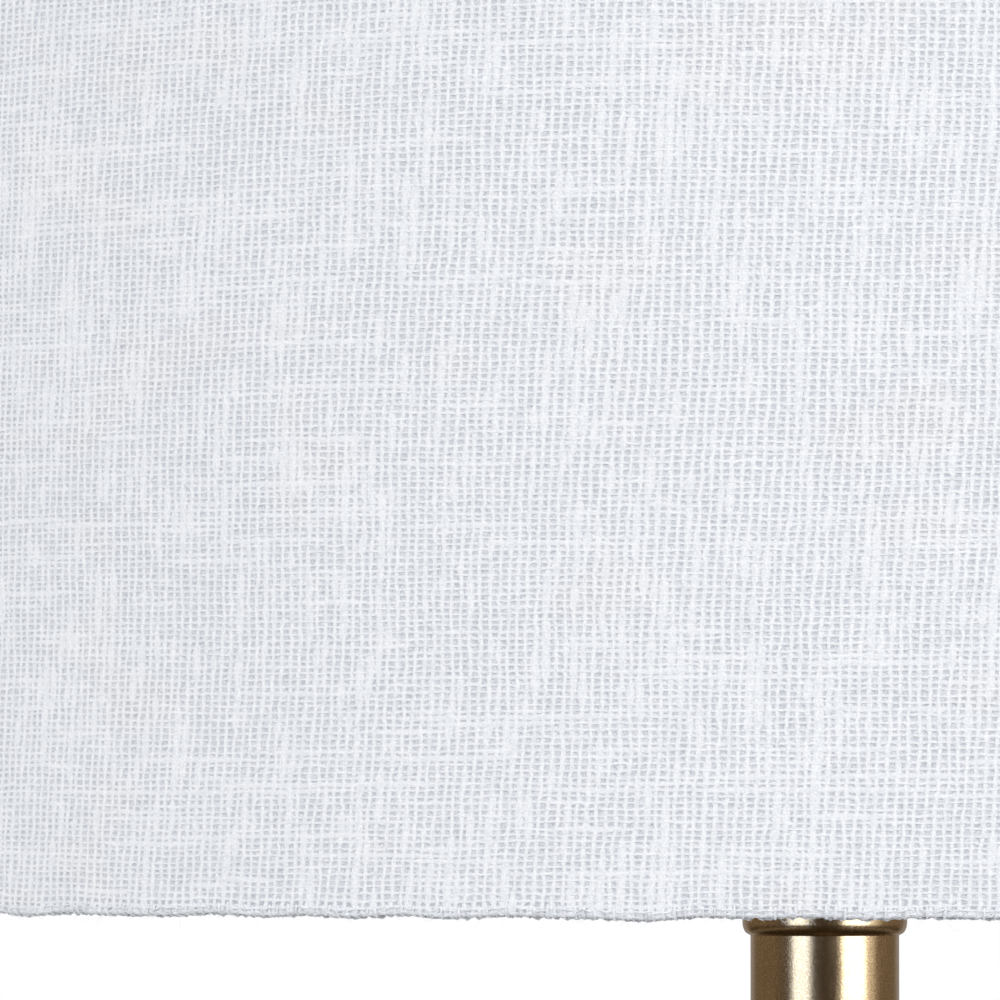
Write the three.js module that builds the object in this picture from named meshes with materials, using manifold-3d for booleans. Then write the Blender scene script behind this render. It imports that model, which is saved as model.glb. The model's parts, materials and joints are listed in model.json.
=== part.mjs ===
// An arc floor lamp: a weighted round base, a three-part pole, a mast that slides in the pole's clamp
// collar, an arc that swivels on the mast, and a fabric drum shade hung from a tilting joint at its end.
// Millimetres, +Z up. The origin is the centre of the base's underside, and the arc reaches along +X.
import * as THREE from "three";
import { mergeVertices } from "three/addons/utils/BufferGeometryUtils.js";
import Module from "manifold-3d";

const wasm = await Module();
wasm.setup();

// ---- Driving dimensions ----
const shadeBottom = 1300; // height of the shade's lower edge above the floor
const shadeDiameter = 320;
const shadeHeight = 220;
const reach = 730; // pole axis to shade axis
const poleDiameter = 35;
const mastDiameter = 28;
const arcDiameter = 25;
const tubeWall = 1.5;
const baseDiameter = 300;
const baseHeight = 25; // floor to the top of the base cover
const flexDiameter = 5.6;

// ---- Fits ----
const gap = 0.3; // between pieces that meet
const slip = 0.25; // between a tube and what plugs into it
const roundSides = 28;
const smallSides = 16;

// ---- Smaller sizes, each of them free to change ----
const padThickness = 3;
const coverWall = 1.5;
const coverRimHeight = 1.2; // the cover's rim stays off the floor
const coverEdgeRadius = 10;
const weightSideGap = 3;
const studRadius = 6;
const studBore = 3.6;
const nutHeight = 6;
const nutRadius = 11;
const washerThickness = 1.5;
const washerRadius = 14;
const recessRadius = 18;
const channelWidth = 10.2;
const channelHeight = 10;
const switchOffset = 95; // switch axis, in front of the pole
const buttonRadius = 10.8;
const buttonTravel = 3;
const buttonStemRadius = 3.4;
const switchBodyRadius = 13.5;
const switchBoreRadius = 6.2;
const springCoilRadius = 4.9;
const springWireRadius = 0.55;
const springTurns = 5;
const glandRadius = 4.6;
const glandFlangeRadius = 6.6;
const terminalBlock = { length: 24, width: 15, height: 9, offset: 70 };
const footFlare = 8.5; // how far the pole's foot spreads past the pole
const footHeight = 20;
const plugLength = 24;
const jointRingHeight = 3;
const jointRingProud = 0.7;
const jointSpigotLength = 22;
const collarHeight = 46.5;
const collarProud = 1.9; // how far the collar stands out from the pole
const collarLipHeight = 2.9; // the rounded lower lip
const collarOverlap = 18.5; // how much of the pole's top the collar wraps
const collarDrop = 18.1; // the collar's lower edge sits this far under the shade's edge
const bushWall = 1.5;
const bushDepth = 22; // how deep the bush reaches into the pole
const bushFlangeHeight = 2;
const lockScrewRadius = 3;
const lockBossRadius = 7;
const lockBossReach = 8;
const lockKnobRadius = 11;
const lockKnobLength = 13;
const mastInsertion = 260; // mast below the shade's lower edge
const mastExposed = 86; // mast above the shade's lower edge
const spigotRadius = 9;
const spigotLength = 28;
const ferruleHeight = 40;
const ferruleProud = 3.5;
const ferruleFloor = 9;
const arcBreak = THREE.MathUtils.degToRad(55); // heading where the rear arc ends and the front arc begins
const arcEnd = THREE.MathUtils.degToRad(160); // heading of the arc's tip; 180 would point straight down
const arcOuterSides = 16;
const arcInnerSides = 10;
const arcStepLength = 24;
const pivotDrop = 24; // arc's end to the tilt pin
const pivotAboveShade = 57; // tilt pin above the shade's top edge
const tongueThickness = 8;
const eyeRadius = 9;
const earThickness = 4;
const washerGap = 1.2; // between tongue and ear, taken up by the friction washers
const pinRadius = 3;
const crotchDepth = 12;
const clevisDrop = 26;
const clevisBossRadius = 9;
const tiltKnobRadius = 9;
const tiltKnobLength = 9;
const stemRadius = 5;
const stemBore = 3.4;
const stemNutHeight = 5;
const holderCapHeight = 30;
const holderRadius = 19.5;
const holderLength = 52;
const holderFlangeDepth = 22; // holder's top to the flange that the shade hangs against
const holderBore = 14.2;
const shadeNutHeight = 8;
const fitterWidth = 10;
const fitterThickness = 2;
const wireRadius = 1.6;
const linerThickness = 0.8;
const clothThickness = 0.7;
const hemWidth = 10;
const shadeSides = 40;
const bulbRadius = 30;
const bulbLength = 104;
const bulbNeckRadius = 13.6;
const bulbCapRadius = 13.2;
const bulbCapLength = 25;
const bulbWall = 1.2;

// ---- Sizes that follow from the others ----
const poleRadius = poleDiameter / 2;
const poleBore = poleRadius - tubeWall;
const mastRadius = mastDiameter / 2;
const mastBore = mastRadius - tubeWall;
const arcRadius = arcDiameter / 2;
const arcBore = arcRadius - tubeWall;
// What plugs into the arc's tubes is a little thinner, because their bore is curved and has flat sides.
const arcPlug = arcBore * Math.cos(Math.PI / arcInnerSides) - slip - gap;
const arcPlugLength = 12;
const collarBottom = shadeBottom - collarDrop;
const poleTop = collarBottom + collarOverlap;
const collarTop = collarBottom + collarHeight;
const collarRadius = poleRadius + collarProud;
const poleBottom = baseHeight + gap;
const poleRun = poleTop - poleBottom;
const weightTop = baseHeight - coverWall - gap;
const mastTop = shadeBottom + mastExposed;
const ferruleBottom = mastTop + 4 + 2 * gap; // above the spigot's flange, which is 4 thick
const arcStart = ferruleBottom + ferruleHeight; // where the arc leaves its ferrule
const pivotHeight = shadeBottom + shadeHeight + pivotAboveShade;

// ---- Materials ----
const colours = {
  satinBrass: [0x8f7044, 0.3, 1],
  castIron: [0x3a3a3c, 0.8, 0.6],
  zincSteel: [0xb8babc, 0.35, 1],
  felt: [0x2b2b2d, 0.95, 0],
  blackPlastic: [0x1c1c1e, 0.45, 0],
  whiteNylon: [0xe8e6e0, 0.5, 0],
  porcelain: [0xf0eee8, 0.3, 0],
  contactBrass: [0xc9a45a, 0.3, 1],
  whiteWire: [0xf2f2f0, 0.4, 0],
  shadeLiner: [0xf5f5f3, 0.55, 0],
  linen: [0xf1f3f6, 0.9, 0],
  frostedGlass: [0xfafafa, 0.5, 0],
  whiteFlex: [0xf4f4f4, 0.5, 0],
};
const materials = {};
for (const [name, [color, roughness, metalness]] of Object.entries(colours)) {
  materials[name] = new THREE.MeshStandardMaterial({ name, color, roughness, metalness });
}

// ---- Shape helpers ----

// A closed profile of [radius, height] points, anticlockwise in the radius-height plane, spun about Z.
function lathe(profile, sides = roundSides) {
  const closed = profile[0][0] === 0 ? profile : [...profile, profile[0]];
  const points = closed.map(([r, z]) => new THREE.Vector2(r, z));
  return new THREE.LatheGeometry(points, sides).rotateX(Math.PI / 2);
}

// A round tube or washer with square ends.
function ring(inner, outer, bottom, top, sides = roundSides) {
  return lathe([[inner, bottom], [outer, bottom], [outer, top], [inner, top]], sides);
}

// A solid round bar.
function bar(radius, bottom, top, sides = roundSides) {
  return lathe([[0, bottom], [radius, bottom], [radius, top], [0, top]], sides);
}

// Points of a quarter ellipse in a profile, from one angle to another in degrees.
function corner(cx, cz, rx, rz, from, to, steps = 5) {
  const points = [];
  for (let i = 0; i <= steps; i++) {
    const a = THREE.MathUtils.degToRad(from + ((to - from) * i) / steps);
    points.push([cx + rx * Math.cos(a), cz + rz * Math.sin(a)]);
  }
  return points;
}

// A wire ring of round section, lying flat.
function wireRing(radius, height, section = wireRadius, sides = shadeSides, around = 6) {
  return new THREE.TorusGeometry(radius, section, around, sides).translate(0, 0, height);
}

// A flat plate cut from an outline in the X-Z plane, centred on Y.
function plate(shape, thickness) {
  const settings = { depth: thickness, bevelEnabled: false, curveSegments: 8 };
  const geometry = new THREE.ExtrudeGeometry(shape, settings);
  return geometry.rotateX(Math.PI / 2).translate(0, thickness / 2, 0);
}

// A closed tube along a curve, hollow when it has a bore.
function tubeAlong(curve, radius, bore, sides, boreSides, steps) {
  const polygon = (r, n) => {
    const points = [];
    for (let i = 0; i < n; i++) {
      const a = (i / n) * 2 * Math.PI;
      points.push(new THREE.Vector2(r * Math.cos(a), r * Math.sin(a)));
    }
    return points;
  };
  const section = new THREE.Shape(polygon(radius, sides));
  if (bore > 0) section.holes.push(new THREE.Path(polygon(bore, boreSides).reverse()));
  return new THREE.ExtrudeGeometry(section, { steps, bevelEnabled: false, extrudePath: curve });
}

// Geometry as a manifold-3d solid, and back.
function solid(geometry) {
  const bare = geometry.clone();
  bare.deleteAttribute("normal");
  bare.deleteAttribute("uv");
  const merged = mergeVertices(bare, 1e-3);
  const mesh = new wasm.Mesh({
    numProp: 3,
    vertProperties: new Float32Array(merged.attributes.position.array),
    triVerts: new Uint32Array(merged.index.array),
  });
  return new wasm.Manifold(mesh);
}

function geometryOf(body) {
  const mesh = body.getMesh();
  const geometry = new THREE.BufferGeometry();
  geometry.setAttribute("position", new THREE.BufferAttribute(new Float32Array(mesh.vertProperties), 3));
  geometry.setIndex(new THREE.BufferAttribute(new Uint32Array(mesh.triVerts), 1));
  return geometry;
}

function joined(...geometries) {
  return geometryOf(geometries.map(solid).reduce((all, next) => all.add(next)));
}

function cut(geometry, ...tools) {
  return geometryOf(tools.map(solid).reduce((rest, tool) => rest.subtract(tool), solid(geometry)));
}

function add(group, name, geometry, material) {
  const mesh = new THREE.Mesh(geometry, materials[material]);
  mesh.name = name;
  group.add(mesh);
  return mesh;
}

// ---- Base ----
function buildBase(stand) {
  const outer = baseDiameter / 2;
  const inner = outer - coverWall;
  const padRadius = inner - 2;
  const weightRadius = inner - weightSideGap;
  const channelTop = padThickness + gap + channelHeight;

  add(stand, "base_pad", bar(padRadius, 0, padThickness), "felt");

  // The cover: a spun shell with a rounded shoulder, pierced for the stud, the switch and the flex gland.
  const shoulder = baseHeight - coverEdgeRadius;
  const edge = outer - coverEdgeRadius;
  const innerEdge = coverEdgeRadius - coverWall;
  const cover = lathe([
    [0, baseHeight - coverWall],
    ...corner(edge, shoulder, innerEdge, innerEdge, 90, 0),
    [inner, coverRimHeight],
    [outer, coverRimHeight],
    ...corner(edge, shoulder, coverEdgeRadius, coverEdgeRadius, 0, 90),
    [0, baseHeight],
  ], 2 * roundSides);
  const glandHeight = padThickness + gap + channelWidth / 2;
  const glandHole = bar(glandRadius + slip, 0, outer, smallSides)
    .rotateY(-Math.PI / 2)
    .translate(0, 0, glandHeight);
  const studHole = bar(studRadius + slip, 0, baseHeight + gap, smallSides);
  const buttonHole = bar(buttonRadius + slip, 0, 2 * baseHeight).translate(switchOffset, 0, 0);
  add(stand, "base_cover", cut(cover, glandHole, studHole, buttonHole), "satinBrass");

  // The weight: a disc with a nut recess, a flex channel, a terminal pocket and a hole for the switch.
  const weight = lathe([
    [0, padThickness + gap],
    [weightRadius, padThickness + gap],
    ...corner(edge, shoulder, weightRadius - edge, weightTop - shoulder, 0, 90, 4),
    [0, weightTop],
  ], 2 * roundSides);
  const recess = bar(recessRadius, 0, channelTop, smallSides);
  const switchWell = bar(switchBodyRadius + slip, 0, baseHeight, smallSides).translate(switchOffset, 0, 0);
  const channel = new THREE.BoxGeometry(outer + switchOffset, channelWidth, channelHeight)
    .translate((switchOffset - outer) / 2, 0, padThickness + gap + channelHeight / 2);
  const pocket = new THREE.BoxGeometry(terminalBlock.length + 4, terminalBlock.width + 4, channelHeight)
    .translate(-terminalBlock.offset, 0, padThickness + gap + channelHeight / 2);
  add(stand, "base_weight", cut(weight, recess, switchWell, channel, pocket, studHole), "castIron");

  const blockBottom = padThickness + 2 * gap;
  const block = new THREE.BoxGeometry(terminalBlock.length, terminalBlock.width, terminalBlock.height)
    .translate(-terminalBlock.offset, 0, blockBottom + terminalBlock.height / 2);
  add(stand, "terminal_block", block, "whiteNylon");

  // The hollow stud, with a washer and hexagon nut up in the recess.
  const washerTop = channelTop - gap;
  const nutTop = washerTop - washerThickness - gap;
  const studTop = poleBottom + plugLength - 4;
  const stud = ring(studBore, studRadius, nutTop - nutHeight - 1, studTop, smallSides);
  add(stand, "base_stud", stud, "zincSteel");
  const washer = ring(studRadius + slip, washerRadius, washerTop - washerThickness, washerTop, smallSides);
  add(stand, "base_washer", washer, "zincSteel");
  const nut = bar(nutRadius, nutTop - nutHeight, nutTop, 6);
  add(stand, "base_nut", cut(nut, bar(studRadius + slip, 0, baseHeight, smallSides)), "zincSteel");

  // The gland that the supply flex would pass through, at the back of the base.
  const glandOut = 4;
  const gland = lathe([
    [flexDiameter / 2 + slip, inner - 4],
    [glandRadius, inner - 4],
    [glandRadius, outer + gap],
    [glandFlangeRadius, outer + gap],
    [glandFlangeRadius - 1.5, outer + glandOut],
    [flexDiameter / 2 + slip, outer + glandOut],
  ], smallSides);
  add(stand, "cable_gland", gland.rotateY(-Math.PI / 2).translate(0, 0, glandHeight), "blackPlastic");
}

// ---- Foot switch in the base ----
function buildSwitch(stand) {
  const bodyBottom = padThickness + gap;
  const boreFloor = bodyBottom + 5;
  const bodyTop = weightTop - 2;
  const restBottom = bodyTop + buttonTravel + gap; // underside of the button's skirt
  const crown = restBottom + 11;
  const at = (geometry) => geometry.translate(switchOffset, 0, 0);

  const body = lathe([
    [0, bodyBottom],
    [switchBodyRadius, bodyBottom],
    [switchBodyRadius, bodyTop],
    [switchBoreRadius, bodyTop],
    [switchBoreRadius, boreFloor],
    [0, boreFloor],
  ], smallSides);
  add(stand, "switch_body", at(body), "blackPlastic");

  // A helical return spring between the bore's floor and the button.
  class Helix extends THREE.Curve {
    getPoint(t, target = new THREE.Vector3()) {
      const a = 2 * Math.PI * springTurns * t;
      const r = springCoilRadius;
      const low = boreFloor + springWireRadius + gap;
      const high = restBottom - springWireRadius - gap;
      return target.set(r * Math.cos(a), r * Math.sin(a), low + (high - low) * t);
    }
  }
  const spring = tubeAlong(new Helix(), springWireRadius, 0, 5, 0, springTurns * 12);
  add(stand, "switch_spring", at(spring), "zincSteel");

  const bezelInner = buttonRadius + slip;
  const bezel = lathe([
    [bezelInner, baseHeight + gap],
    [bezelInner + 4.5, baseHeight + gap],
    [bezelInner + 3.5, baseHeight + 2],
    [bezelInner + 1, baseHeight + 2.4],
    [bezelInner, baseHeight + 2],
  ], roundSides);
  add(stand, "switch_bezel", at(bezel), "satinBrass");

  const button = lathe([
    [0, boreFloor + buttonTravel + 1],
    [buttonStemRadius, boreFloor + buttonTravel + 1],
    [buttonStemRadius, restBottom],
    [buttonRadius, restBottom],
    ...corner(buttonRadius - 2.5, crown - 2.5, 2.5, 1.5, 0, 70, 3),
    [0, crown],
  ], roundSides);
  add(stand, "switch_button", at(button), "blackPlastic");
}

// ---- Pole ----
function buildPole(stand) {
  const sectionCount = 3;
  const sectionLength = (poleRun - (sectionCount - 1) * (jointRingHeight + 2 * gap)) / sectionCount;
  const names = ["lower", "middle", "upper"];

  // A flared foot hides the joint with the base, and a threaded plug closes the pole on the stud.
  const footInner = poleRadius + slip;
  const footOuter = poleRadius + footFlare;
  const foot = lathe([
    [footInner, poleBottom],
    [footOuter, poleBottom],
    [footOuter, poleBottom + 2.5],
    ...corner(footOuter, poleBottom + footHeight - 2, footFlare - 2, footHeight - 4.5, 270, 180, 6),
    [footInner, poleBottom + footHeight],
  ]);
  add(stand, "pole_foot", foot, "satinBrass");
  const plug = ring(studRadius + slip, poleBore - slip, poleBottom, poleBottom + plugLength);
  add(stand, "pole_plug", plug, "zincSteel");

  names.forEach((name, i) => {
    const bottom = poleBottom + i * (sectionLength + jointRingHeight + 2 * gap);
    const top = bottom + sectionLength;
    add(stand, `pole_${name}`, ring(poleBore, poleRadius, bottom, top), "satinBrass");
    if (i === sectionCount - 1) return;
    // The joint: a slim ring that shows, with spigots that plug into both tubes.
    const spigot = poleBore - slip;
    const ringBottom = top + gap;
    const ringTop = ringBottom + jointRingHeight;
    const proud = poleRadius + jointRingProud;
    const joint = lathe([
      [spigot - 2, ringBottom - jointSpigotLength],
      [spigot, ringBottom - jointSpigotLength],
      [spigot, ringBottom],
      [poleRadius, ringBottom],
      [proud, ringBottom + 0.8],
      [proud, ringTop - 0.8],
      [poleRadius, ringTop],
      [spigot, ringTop],
      [spigot, ringTop + jointSpigotLength],
      [spigot - 2, ringTop + jointSpigotLength],
    ]);
    add(stand, `pole_joint_${name}`, joint, "satinBrass");
  });

  const flex = bar(flexDiameter / 2, padThickness + 2, shadeBottom + 20, 8);
  add(stand, "flex_pole", flex, "whiteFlex");
}

// ---- Clamp collar on the pole's top, with its bush and lock screw ----
const lockHeight = (poleTop + collarTop) / 2;

function buildCollar(stand) {
  const bushOuter = poleBore - slip;
  const collarInner = bushOuter + gap;
  const collar = lathe([
    [poleRadius + slip, collarBottom],
    ...corner(collarRadius - collarProud + slip, collarBottom + collarLipHeight, collarProud - slip,
      collarLipHeight, 270, 360, 6),
    [collarRadius, collarTop - 2],
    [collarRadius - 1.4, collarTop],
    [collarInner, collarTop],
    [collarInner, poleTop + gap],
    [poleRadius + slip, poleTop + gap],
  ]);
  const boss = bar(lockBossRadius, collarInner + 1, collarRadius + lockBossReach, smallSides)
    .rotateY(-Math.PI / 2)
    .translate(0, 0, lockHeight);
  const screwHole = bar(lockScrewRadius + slip, 0, 2 * collarRadius, smallSides)
    .rotateY(-Math.PI / 2)
    .translate(0, 0, lockHeight);
  add(stand, "clamp_collar", cut(joined(collar, boss), screwHole), "satinBrass");

  const bushInner = mastRadius + gap;
  const bush = lathe([
    [bushInner, poleTop - bushDepth],
    [bushOuter, poleTop - bushDepth],
    [bushOuter, collarTop + gap],
    [collarRadius - 1.4, collarTop + gap],
    [collarRadius - 2, collarTop + bushFlangeHeight],
    [bushInner, collarTop + bushFlangeHeight],
  ]);
  add(stand, "collar_bush", cut(bush, screwHole), "blackPlastic");
}

function buildLock(lock) {
  // The knob and its screw lie along -X, and turn about it.
  lock.position.set(0, 0, lockHeight);
  const bossEnd = collarRadius + lockBossReach;
  const knobStart = bossEnd + 2;
  const screw = bar(lockScrewRadius, mastRadius + gap, knobStart - gap, smallSides);
  add(lock, "lock_screw", screw.rotateY(-Math.PI / 2), "zincSteel");
  const knob = lathe([
    [0, knobStart],
    [lockKnobRadius - 4, knobStart],
    [lockKnobRadius, knobStart + 3],
    [lockKnobRadius, knobStart + lockKnobLength - 1.5],
    [lockKnobRadius - 1.5, knobStart + lockKnobLength],
    [0, knobStart + lockKnobLength],
  ], 24);
  add(lock, "lock_knob", knob.rotateY(-Math.PI / 2), "satinBrass");
}

// ---- Mast ----
function buildMast(mast) {
  mast.position.set(0, 0, mastTop);
  const length = mastExposed + mastInsertion;
  add(mast, "mast_tube", ring(mastBore, mastRadius, -length, 0), "satinBrass");

  // The spigot plugs the mast's top, and the arc's ferrule turns on it.
  const flangeTop = 4 + gap;
  const spigot = lathe([
    [studBore + 0.6, -20],
    [mastBore - slip, -20],
    [mastBore - slip, gap],
    [mastRadius, gap],
    [mastRadius, flangeTop - 0.8],
    [mastRadius - 0.8, flangeTop],
    [spigotRadius, flangeTop],
    [spigotRadius, flangeTop + spigotLength],
    [studBore + 0.6, flangeTop + spigotLength],
  ]);
  add(mast, "mast_spigot", spigot, "satinBrass");

  // A guide ring on the mast's foot runs in the pole's bore.
  const guide = lathe([
    [mastBore - 2.5, -length + 12],
    [mastBore - 2.5, -length - 4],
    [poleBore - gap, -length - 4],
    [poleBore - gap, -length - gap],
    [mastBore - slip, -length - gap],
    [mastBore - slip, -length + 12],
  ]);
  add(mast, "mast_guide", guide, "whiteNylon");
}

// ---- Arc ----

// Two circular arcs, tangent to each other: one rises from the ferrule, the other comes down to the tip.
// Heading is the angle of travel from straight up. A stretch of radius r from heading a to b moves by
// r (cos a - cos b) along X and r (sin b - sin a) along Z, so both radii follow from where the tip is.
const tip = {
  x: reach - pivotDrop * Math.sin(arcEnd),
  z: pivotHeight - pivotDrop * Math.cos(arcEnd) - arcStart,
};
const rearX = 1 - Math.cos(arcBreak);
const rearZ = Math.sin(arcBreak);
const frontX = Math.cos(arcBreak) - Math.cos(arcEnd);
const frontZ = Math.sin(arcEnd) - Math.sin(arcBreak);
const scale = rearX * frontZ - frontX * rearZ;
const rearRadius = (tip.x * frontZ - frontX * tip.z) / scale;
const frontRadius = (rearX * tip.z - tip.x * rearZ) / scale;

// A stretch of the arc between two headings, with a straight lead-in below its start.
class ArcStretch extends THREE.Curve {
  constructor(from, to, radius, start, lead = 0) {
    super();
    Object.assign(this, { from, to, radius, start, lead });
    this.bend = radius * (to - from);
  }
  getPoint(t, target = new THREE.Vector3()) {
    const s = t * (this.lead + this.bend) - this.lead;
    if (s < 0) {
      return target.set(this.start.x + s * Math.sin(this.from), 0, this.start.z + s * Math.cos(this.from));
    }
    const heading = this.from + s / this.radius;
    return target.set(
      this.start.x + this.radius * (Math.cos(this.from) - Math.cos(heading)),
      0,
      this.start.z + this.radius * (Math.sin(heading) - Math.sin(this.from)),
    );
  }
  steps(length = arcStepLength) {
    return Math.ceil((this.lead + this.bend) / length);
  }
}

function buildArc(arc) {
  arc.position.set(0, 0, arcStart);
  const ferruleFoot = -ferruleHeight;
  const tubeFoot = ferruleFoot + ferruleFloor;
  const outer = arcRadius + ferruleProud;
  const ferrule = lathe([
    [spigotRadius + gap, ferruleFoot],
    [outer - 1, ferruleFoot],
    [outer, ferruleFoot + 1.5],
    [outer, -9],
    ...corner(arcRadius + slip + 1.2, -9, outer - arcRadius - slip - 1.2, 8, 0, 90, 4),
    [arcRadius + slip, 0],
    [arcRadius + slip, tubeFoot - gap],
    [spigotRadius + gap, tubeFoot - gap],
  ]);
  add(arc, "arc_ferrule", ferrule, "satinBrass");

  // The break between the two arc tubes is covered by a slim ring with a spigot inside.
  const lead = ferruleHeight - ferruleFloor;
  const breakPoint = {
    x: rearRadius * (1 - Math.cos(arcBreak)),
    z: rearRadius * Math.sin(arcBreak),
  };
  const halfRing = jointRingHeight / 2 + gap;
  const rearTrim = arcBreak - halfRing / rearRadius;
  const frontTrim = arcBreak + halfRing / frontRadius;
  const rear = new ArcStretch(0, rearTrim, rearRadius, { x: 0, z: 0 }, lead);
  const frontStart = {
    x: breakPoint.x + frontRadius * (Math.cos(arcBreak) - Math.cos(frontTrim)),
    z: breakPoint.z + frontRadius * (Math.sin(frontTrim) - Math.sin(arcBreak)),
  };
  const front = new ArcStretch(frontTrim, arcEnd, frontRadius, frontStart);
  for (const [name, stretch] of [["arc_rear", rear], ["arc_front", front]]) {
    const tube = tubeAlong(stretch, arcRadius, arcBore, arcOuterSides, arcInnerSides, stretch.steps());
    add(arc, name, tube, "satinBrass");
  }

  const joint = new THREE.Group();
  joint.position.set(breakPoint.x, 0, breakPoint.z);
  joint.rotation.y = arcBreak;
  arc.add(joint);
  const spigot = arcPlug;
  const proud = arcRadius + jointRingProud;
  const half = jointRingHeight / 2;
  const jointProfile = lathe([
    [spigot - 2, -half - arcPlugLength],
    [spigot, -half - arcPlugLength],
    [spigot, -half],
    [arcRadius, -half],
    [proud, -half + 0.8],
    [proud, half - 0.8],
    [arcRadius, half],
    [spigot, half],
    [spigot, half + arcPlugLength],
    [spigot - 2, half + arcPlugLength],
  ], smallSides);
  add(joint, "arc_joint", jointProfile, "satinBrass");

  // The inner flex follows the arc's own line, from the ferrule to the tip.
  const flexRear = new ArcStretch(0, arcBreak, rearRadius, { x: 0, z: 0 }, lead);
  const flexFront = new ArcStretch(arcBreak, arcEnd - 20 / frontRadius, frontRadius, breakPoint);
  const flexPath = new THREE.CurvePath();
  flexPath.add(flexRear);
  flexPath.add(flexFront);
  add(arc, "flex_arc", tubeAlong(flexPath, flexDiameter / 2, 0, 8, 0, 40), "whiteFlex");

  // The end cap: a plug in the tube's mouth, a rim, and a tongue with the pin's eye.
  const end = new THREE.Group();
  end.position.set(tip.x, 0, tip.z);
  end.rotation.y = arcEnd;
  arc.add(end);
  const rimHeight = 5;
  const plug = lathe([
    [0, -arcPlugLength],
    [arcPlug, -arcPlugLength],
    [arcPlug, gap],
    [arcRadius + 0.8, gap],
    [arcRadius + 0.8, rimHeight - 1],
    [arcRadius - 1, rimHeight],
    [0, rimHeight],
  ]);
  const tongueShape = new THREE.Shape();
  tongueShape.moveTo(-eyeRadius + 1, 1);
  tongueShape.lineTo(eyeRadius - 1, 1);
  tongueShape.lineTo(eyeRadius, pivotDrop);
  tongueShape.absarc(0, pivotDrop, eyeRadius, 0, Math.PI, false);
  tongueShape.closePath();
  const tongue = plate(tongueShape, tongueThickness);
  const eye = bar(pinRadius + slip, -tongueThickness, tongueThickness, smallSides)
    .rotateX(Math.PI / 2)
    .translate(0, 0, pivotDrop);
  const leadHole = bar(flexDiameter / 2 + slip, -20, rimHeight - 1.5, smallSides);
  add(end, "arc_end_cap", cut(joined(plug, tongue), eye, leadHole), "satinBrass");
}

// ---- Head: knuckle, lampholder and bulb, hung from the tilt pin ----
const earInside = tongueThickness / 2 + washerGap;
const earOutside = earInside + earThickness;
const capTop = -clevisDrop - gap - stemNutHeight - gap;
const holderTop = capTop - holderCapHeight + 2;
const flangeBottom = holderTop - holderFlangeDepth;

function buildKnuckle(head) {
  const earShape = new THREE.Shape();
  earShape.moveTo(-eyeRadius + 1, -crotchDepth - 6);
  earShape.lineTo(eyeRadius - 1, -crotchDepth - 6);
  earShape.lineTo(eyeRadius, 0);
  earShape.absarc(0, 0, eyeRadius, 0, Math.PI, false);
  earShape.closePath();
  const ear = plate(earShape, earThickness);
  const earShift = earInside + earThickness / 2;
  const base = lathe([
    [0, -clevisDrop],
    [clevisBossRadius - 2, -clevisDrop],
    [clevisBossRadius + 1, -clevisDrop + 4],
    [clevisBossRadius + 1, -crotchDepth],
    [0, -crotchDepth],
  ]);
  const pinHole = bar(pinRadius + slip, -2 * earOutside, 2 * earOutside, smallSides).rotateX(Math.PI / 2);
  const stemHole = bar(stemRadius + slip, -clevisDrop - 1, -crotchDepth - 3, smallSides);
  const leadHole = bar(stemBore, -clevisDrop - 1, 0, smallSides);
  const ears = [1, -1].map((side) => ear.clone().translate(0, side * earShift, 0));
  const clevis = joined(base, ...ears);
  add(head, "head_clevis", cut(clevis, pinHole, stemHole, leadHole), "satinBrass");

  // Friction washers between tongue and ears.
  for (const [name, side] of [["front", -1], ["rear", 1]]) {
    const middle = tongueThickness / 2 + washerGap / 2;
    const half = washerGap / 2 - slip;
    const washer = ring(pinRadius + slip, eyeRadius - 1, -half, half, smallSides)
      .rotateX(Math.PI / 2)
      .translate(0, side * middle, 0);
    add(head, `tilt_washer_${name}`, washer, "whiteNylon");
  }

  // The tilt pin: a domed head behind, a threaded end in front that the knob turns on.
  const headThickness = 3.5;
  const pin = lathe([
    [0, -earOutside - tiltKnobLength + 3],
    [pinRadius, -earOutside - tiltKnobLength + 3],
    [pinRadius, earOutside + gap],
    [2 * pinRadius, earOutside + gap],
    ...corner(pinRadius, earOutside + gap + 1.5, pinRadius, headThickness - 1.5, 0, 70, 3),
    [0, earOutside + gap + headThickness],
  ], smallSides);
  add(head, "tilt_pin", pin.rotateX(-Math.PI / 2), "zincSteel");

  const stemBottom = holderTop - 4;
  const stem = ring(stemBore, stemRadius, stemBottom, -crotchDepth - 3 - gap, smallSides);
  add(head, "head_stem", stem, "zincSteel");
  const stemNut = bar(clevisBossRadius - 0.5, capTop + gap, -clevisDrop - gap, 6);
  const nutBore = bar(stemRadius + slip, capTop, -clevisDrop, smallSides);
  add(head, "stem_nut", cut(stemNut, nutBore), "satinBrass");
}

function buildTiltKnob(knob) {
  const face = earOutside + gap;
  const body = lathe([
    [0, face + tiltKnobLength - 2],
    [pinRadius + slip, face + tiltKnobLength - 2],
    [pinRadius + slip, face],
    [tiltKnobRadius - 2.5, face],
    [tiltKnobRadius, face + 2],
    [tiltKnobRadius, face + tiltKnobLength - 1.2],
    [tiltKnobRadius - 1.2, face + tiltKnobLength],
    [0, face + tiltKnobLength],
  ], 24);
  add(knob, "tilt_knob", body.rotateX(Math.PI / 2), "satinBrass");
}

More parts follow.
